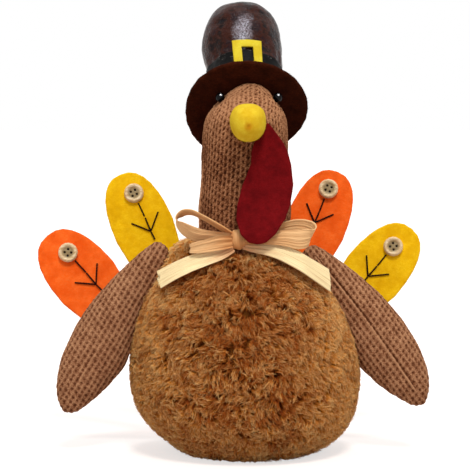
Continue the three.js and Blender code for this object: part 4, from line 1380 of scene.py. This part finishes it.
# Right, forward and up from the knot, width, turn of the width from upright, lean of the width
strand_shares = {
    "bow_loop_left_upper": [
        (-0.3, -0.05, 0.3, 0.4, 0.6, 0), (-1, 0.05, 0.75, 0.7, 0.75, 0),
        (-1.7, 0.1, 1.15, 0.9, 0.8, 0), (-2.35, 0.1, 1.45, 1, 0.8, 0),
        (-2.85, 0.05, 1.4, 1, 0.75, 0), (-3.12, 0, 1.02, 1, 0.65, 0),
        (-2.8, -0.02, 0.56, 0.95, 0.5, 0), (-2.1, -0.03, 0.22, 0.8, 0.3, 0),
        (-1.25, -0.05, 0.16, 0.55, 0.2, 0), (-0.3, -0.05, 0.14, 0.36, 0.2, 0),
    ],
    "bow_loop_left_lower": [
        (-0.3, 0.3, -0.07, 0.6, 0, 0), (-0.9, 0.5, -0.12, 0.72, 0, 0),
        (-1.6, 0.62, -0.25, 0.66, 0.05, 0), (-2.15, 0.6, -0.36, 0.55, 0.1, 0),
        (-2.42, 0.5, -0.42, 0.42, 0.1, 0), (-2.2, 0.36, -0.36, 0.5, 0.1, 0),
        (-1.6, 0.3, -0.24, 0.55, 0.05, 0), (-0.9, 0.22, -0.14, 0.5, 0, 0),
        (-0.3, 0.12, -0.1, 0.36, 0, 0),
    ],
    "bow_loop_right": [
        (0.3, 0.28, 0, 0.45, 0, 0), (0.95, 0.34, 0.06, 0.55, 0, 0), (1.6, 0.38, 0.1, 0.64, 0, 0),
        (2.4, 0.36, 0.1, 0.82, 0.02, 0), (3.15, 0.26, 0.02, 1, 0.05, 0.1),
        (3.7, 0, 0.14, 1, 0.1, 0.5), (3.72, -0.34, 0.46, 0.94, 0.12, 0.35),
        (3.1, -0.52, 0.64, 0.8, 0.1, 0.1), (2.2, -0.48, 0.52, 0.65, 0.05, 0),
        (1.3, -0.2, 0.32, 0.5, 0, 0), (0.3, 0.02, 0.15, 0.36, 0, 0),
    ],
    "bow_tail_left": [
        (-0.25, 0.12, -0.44, 0.36, -0.2, 0), (-0.8, 0.28, -0.7, 0.6, -0.35, 0),
        (-1.5, 0.48, -0.9, 0.85, -0.45, 0), (-2.4, 0.62, -1.2, 1, -0.45, 0),
        (-3.2, 0.52, -1.58, 1.05, -0.4, 0), (-4.15, 0.06, -2.14, 1.04, -0.3, 0),
    ],
    "bow_tail_right": [
        (0.25, 0.1, -0.3, 0.36, -0.1, 0), (0.75, 0.16, -0.38, 0.5, -0.2, 0),
        (1.45, 0.24, -0.42, 0.74, -0.35, 0), (2.2, 0.3, -0.6, 0.94, -0.45, 0),
        (3.15, 0.28, -1.05, 1.1, -0.45, 0), (3.85, 0.05, -1.5, 1.15, -0.4, 0),
        (4.88, -0.5, -2.22, 1.15, -0.3, 0),
    ],
}


# Share of the width, from -1 at its lower edge to 1 at its upper edge, and mm torn off there
torn_end = [(-1, 2), (-0.85, 1.5), (0.3, 0.4), (0.42, 3.6), (0.6, 3.2), (0.8, 2.2), (1, 1.6)]


def strip_shape(middle, across, face, half_width, ridge, end_cut):
    """Thin closed strip; ridge is its height at each share across, end_cut draws its end in."""
    count = len(middle)
    shares = np.linspace(-1, 1, ridge.shape[-1])
    along = units(np.gradient(middle, axis=0))
    top = (middle[:, None] + across[:, None] * (shares[None] * half_width[:, None])[..., None]
           + face[:, None] * (ridge + raffia_thickness * 0.35)[..., None])
    low = top - face[:, None] * raffia_thickness * 0.7
    pull = np.linspace(0, 1, count)[:, None] ** 9 * end_cut[None]
    top, low = top - along[:, None] * pull[..., None], low - along[:, None] * pull[..., None]
    rings = np.concatenate([top, low[:, ::-1]], 1)
    u = np.concatenate([shares, shares[::-1]]) * 0.5 + 0.5
    places = np.stack(np.broadcast_arrays(u[None], np.linspace(0, 1, count)[:, None]), -1)
    places = np.concatenate([places.reshape(-1, 2), [[0.5, 0], [0.5, 1]]])
    return tube_grid(rings), places


def raffia_strand(name, shares, seed):
    rows = curve_through(shares, 90)
    chance = np.random.default_rng(seed)
    middle = np.array(knot_place) + rows[:, :3] * np.array([1, -1, 1]) * raffia_width
    along = units(np.gradient(middle, axis=0))
    turn = rows[:, 4] * math.pi / 2
    across = np.stack([rows[:, 5], -np.sin(turn), np.cos(turn)], -1)
    across = units(across - along * (across * along).sum(-1, keepdims=True))
    face = np.cross(along, across)
    wide = 41
    share = np.linspace(-1, 1, wide)
    ridge = chance.normal(size=wide)
    ridge = 0.1 * mm * (ridge + np.roll(ridge, 1)) - 0.6 * mm * share ** 2
    run = np.linspace(0, 1, len(rows))[:, None]
    creases = np.sin(share[None] * 9 + seed) * 0.35 * mm * bell(run, 0.22)
    creases = creases + 0.25 * mm * np.sin(share[None] * 5 + seed) * (1 - rows[:, 3:4])
    tear = np.abs(np.cumsum(chance.normal(size=wide))) * 0.35 * mm
    if name == "bow_tail_left":
        cut = np.interp(share, *np.transpose(torn_end)) * mm + 0.4 * tear
    elif name == "bow_tail_right":
        cut = (share + 1) * 2.4 * mm
    else:
        cut = 0 * share
    shape, places = strip_shape(middle, across, face, rows[:, 3] * raffia_width / 2,
                                ridge[None] + creases, cut)
    return shape, places, rows, middle


def grain_group():
    """Streaks along the map's second axis, over a slow change from one colour to another."""
    tree, given = new_group("long grain", ("Knot colour", "Middle", "Dark"), ("Place",))
    inputs = {"Vector": given["Place"], "Scale": (46, 3, 1)}
    stretched = put(tree, "ShaderNodeMapping", inputs).outputs[0]
    inputs = {"Vector": stretched, "Scale": 1, "Detail": 4}
    streaks = put(tree, "ShaderNodeTexNoise", inputs).outputs[0]
    slow = put(tree, "ShaderNodeTexNoise", {"Vector": given["Place"], "Scale": 4}).outputs[0]
    run = put(tree, "ShaderNodeSeparateXYZ", {"Vector": given["Place"]}).outputs["Y"]
    far = stretch(tree, plus(tree, run, times(tree, slow, 0.5)), 0.3, 0.62)
    pale = mixed(tree, far, given["Knot colour"], given["Middle"])
    dark = times(tree, stretch(tree, streaks, 0.56, 0.33), 0.45)
    return close_group(tree, mixed(tree, dark, pale, given["Dark"]), streaks)


long_grain = grain_group()


def raffia_material(name, knot, middle, dark):
    material, tree, shader = new_material(name, Roughness=0.65, Specular_IOR_Level=0.1)
    place = put(tree, "ShaderNodeUVMap", uv_map="OFBake").outputs[0]
    colour, height = use_group(tree, long_grain, knot_colour=knot, middle=middle, dark=dark,
                               place=place)
    finish_surface(tree, shader, colour, height, 0.25 * mm)
    return material


tail_raffia = raffia_material("raffia of the tails", "e4b184", "fae6b4", "cf9f68")
loop_raffia = raffia_material("raffia of the loops", "d79a62", "f6c891", "a96a34")
for seed, (name, shares) in enumerate(strand_shares.items()):
    is_tail = "tail" in name
    shape, places, rows, middle = raffia_strand(name, shares, 70 + seed)
    piece = new_piece(f"raffia_{name}", shape, tail_raffia if is_tail else loop_raffia, "figure",
                      (name,), places=places)

# %% [markdown]
# The knot and the tie round the neck are the same raffia, gathered into folds. Both are softened
# from their solids, and the folds are waves pressed into the mesh. The tie is drawn wider than its
# solid, because the knitted neck goes straight down where the neck's solid is drawn in by the tie.


# %% Knot and tie
def wound_place(points):
    """Map place for the grain: round the tie or knot, and across it."""
    centre = points.mean(0)
    angle = np.arctan2(points[:, 1] - centre[1], points[:, 0] - centre[0]) / full_turn + 0.5
    rise = (points[:, 2] - points[:, 2].min()) / np.ptp(points[:, 2])
    return np.stack([rise, angle * 4], -1)


def build_knot():
    points, quads, normals = softened("bow_knot", voxel=0.35 * mm, rounds=5)
    folds = np.sin((points[:, 0] - knot_place.x) / (0.55 * mm) + 2 * wobble(points, 4 * mm, 81))
    points = points + normals * (0.25 * mm * folds)[:, None]
    new_piece("raffia_knot", (points, [quads]), loop_raffia, "figure", ("bow_knot",),
              places=wound_place(points)[:, ::-1] * (1, 0.2))


def build_tie():
    points, quads, normals = softened("neck_tie", voxel=0.3 * mm, rounds=3)
    points = points + normals * (0.12 * mm * np.sin(points[:, 2] / (0.35 * mm)))[:, None]
    points = points * (1.19, 1.19, 1)
    new_piece("raffia_tie", (points, [quads]), loop_raffia, "figure", ("neck_tie",),
              places=wound_place(points) * (1, 0.2))


build_knot()
build_tie()

# %% [markdown]
# Each tail feather is a petal of craft felt with a wooden button glued near its tip and a leaf
# vein stitched below in thick thread. All three ride on one body, which bends back at the root.
# The button is turned: a raised rim round a dish with four holes. How deep a point lies below the
# rim is kept with the mesh, so that the dish can be painted darker and the holes dark, as painted
# shade.

# %% Feathers
feather_felts = {
    "left_outer": (felt_orange, "felt_orange"), "left_inner": (felt_yellow, "felt_yellow"),
    "right_inner": (felt_orange, "felt_orange"), "right_outer": (felt_yellow, "felt_yellow"),
}


def wood_material():
    material, tree, shader = new_material("button wood", Roughness=0.42, Specular_IOR_Level=0.35)
    sunk = kept_value(tree, "sunk")
    rings = clouds(tree, object_place(tree, (0.3, 1, 1)), 1.1 * mm, 4, 0.6)
    base = ramp(tree, rings, (0.3, "c09a68"), (0.5, "dcc094"), (0.7, "eedcb8"))
    # Painted shade: the dish is darkened, and the holes are made nearly black, by how deep they
    # lie.
    dish = mixed(tree, stretch(tree, sunk, 0.08, 0.4), base, "7c683f")
    colour = mixed(tree, stretch(tree, sunk, 0.5, 0.7), dish, "3a160c")
    finish_surface(tree, shader, colour, rings, 0.1 * mm, 0.4)
    return material


wood = wood_material()
thread = two_tone("thread", (0.35, "160503"), (0.7, "34110a"), size=0.6 * mm, detail=3,
                  depth=0.15 * mm, strength=0.6, Roughness=0.8, Specular_IOR_Level=0.1)
thread_radius = 0.52 * mm
ply_turn = 1.9 * mm
button_growth = 0.04
dish_radius = 4.1 * mm
dark_dot_height = 0.55 * mm


# %% Stitches
def stitch(start, end, out):
    """One stitch of two-ply thread: it comes out of the felt, lies on it and goes back in."""
    s = np.linspace(0, 1, 40)[:, None]
    rise = np.clip(np.minimum(s, 1 - s) / 0.06, 0, 1) ** 0.5 * 1.2 * mm - 0.9 * mm
    line = start * (1 - s) + end * s + out * rise
    side = np.cross(units(end - start), out)
    length = float(np.linalg.norm(end - start))

    def turned(angles):
        return side * np.cos(angles) + out * np.sin(angles)

    ring = turned(ring_angles(8)[:, None])
    shapes = []
    for ply in (0, math.pi):
        centre = line + turned(ply + s * length / ply_turn * full_turn) * thread_radius * 0.5
        shapes.append(tube_grid(outward(centre[:, None] + ring[None] * thread_radius * 0.62)))
    return together(*shapes)


# %% Feather pieces
def node_points(name):
    return np.array([v.co for v in frame["nodes"][name].data.vertices])


def feather_axes(place):
    """Root, and the directions across, along and out of the face of a feather."""
    joint = joints[f"feather_{place}_flex"]
    root = np.array(joint["pos_m"])
    across = units(-np.array(joint["axis"]))
    points = node_points(f"feather_{place}") - root
    reach = points - across * (points @ across)[:, None]
    far = reach[np.argmax(lengths(reach)[:, 0])]
    out = units(np.cross(across, far))
    return root + out * (points @ out).max(), across, np.cross(out, across), out


def local_places(points, origin, across, along):
    return (points - origin) @ across, (points - origin) @ along


def build_button(place, origin, across, along, out, body):
    """Button in the feather's own axes: softened rim, dish and holes, over a dark disc."""
    points, quads, _ = softened(f"button_{place}", voxel=0.17 * mm, rounds=3)
    x, y = local_places(points, origin, across, along)
    x, y = x - (x.min() + x.max()) / 2, y - (y.min() + y.max()) / 2
    points = points + across * (x * button_growth)[:, None] + along * (y * button_growth)[:, None]
    up = (points - origin) @ out
    sunk = np.where(np.hypot(x, y) > dish_radius, 0, (up.max() - up) / mm * 0.32)
    x, y = local_places(points, origin, across, along)
    centre = origin + across * float(x.mean()) + along * float(y.mean()) + out * dark_dot_height
    # Painted shade: a dark disc under the button, seen through its holes.
    dot = turned_shape([(0.01 * mm, 0.25 * mm), (2.7 * mm, 0.2 * mm), (3 * mm, 0), (0.01 * mm, 0)],
                       24, centre, out)
    sunk = np.append(sunk, np.ones(len(dot[0])))
    new_piece(f"wood_button_{place}", together((points, [quads]), dot), wood, body,
              (f"button_{place}",), {"sunk": sunk})


def build_feather(place, seed):
    origin, across, along, out = feather_axes(place)
    material, slot = feather_felts[place]
    body = f"tail_{place}"
    points, quads, normals = softened(f"feather_{place}", voxel=0.6 * mm, rounds=2)
    rise = np.clip((points - origin) @ along / (60 * mm), 0, 1)
    points = points + normals * (0.15 * mm + wobble(points, 4 * mm, seed) * 0.12 * mm)[:, None]
    points = points + out * (wobble(points, 26 * mm, seed + 1) * 0.8 * mm * rise)[:, None]
    x, y = local_places(points, origin, across, along)
    gather = 0.35 * np.clip(1 - y / (34 * mm), 0, 1) if place == "left_outer" else 0 * y
    points = points - across * (x * gather)[:, None]
    nap = fuzz(points, normals, count=2600, length=1.2 * mm, seed=seed)
    shape = together((points, [quads]), nap)
    felt_petal = new_piece(f"petal_{place}", shape, material, body, (f"feather_{place}",))
    x, y = local_places(node_points(f"feather_{place}"), origin, across, along)
    build_button(place, origin, across, along, out, body)
    x, y = local_places(node_points(f"vein_{place}"), origin, across, along)
    middle = float(x.min() + x.max()) / 2
    top, low, half = float(y.max()), float(y.min()), float(np.ptp(x)) / 2
    fork = low + 5.5 * mm
    barb_end = fork + half * 1.04

    def at(side_step, up_step):
        return origin + across * (middle + side_step) + along * up_step

    half_way, gap = (top + fork) / 2, 0.3 * mm
    stitches = [(at(0, top), at(0.2 * mm, half_way)), (at(0.2 * mm, half_way - gap), at(0, fork)),
                (at(0, fork - gap), at(0.3 * mm, low)),
                (at(0, fork), at(half, barb_end)), (at(0, fork), at(-half, barb_end))]
    shape = together(*[stitch(start, end, out) for start, end in stitches])
    new_piece(f"stitched_vein_{place}", shape, thread, body, (f"vein_{place}",))


joints = {joint["name"]: joint for joint in frame["joints"]}
for i, place in enumerate(feather_felts):
    build_feather(place, 100 + 10 * i)


# %% [markdown]
# What is left is out of sight: the pellets, the eye washers and the board in the base. They keep
# their CAD shapes and get the finish of what they are.


# %% Hidden pieces
board = two_tone("board", (0.3, "4d3018"), (0.7, "6e4826"), size=1.2 * mm, detail=5,
                 roughness=0.6, depth=0.2 * mm, place_scale=(1, 0.3, 1), Roughness=0.85)


def pellet_material():
    material, tree, shader = new_material("pellets", Roughness=0.5)
    beads = put(tree, "ShaderNodeTexVoronoi", {"Vector": object_place(tree), "Scale": 1 / (3 * mm)})
    colour = ramp(tree, beads.outputs[0], (0.1, "e4e0d6"), (0.8, "9c978b"))
    finish_surface(tree, shader, colour, beads.outputs[0], -1 * mm, 0.8)
    return material


def dress(node, material):
    mesh = frame["nodes"][node].data
    mesh.materials.clear()
    mesh.materials.append(material)


hidden = {"pellet_bag": pellet_material(), "base_panel": board, "eye_washer_left": bead,
          "eye_washer_right": bead}
for node, material in hidden.items():
    dress(node, material)
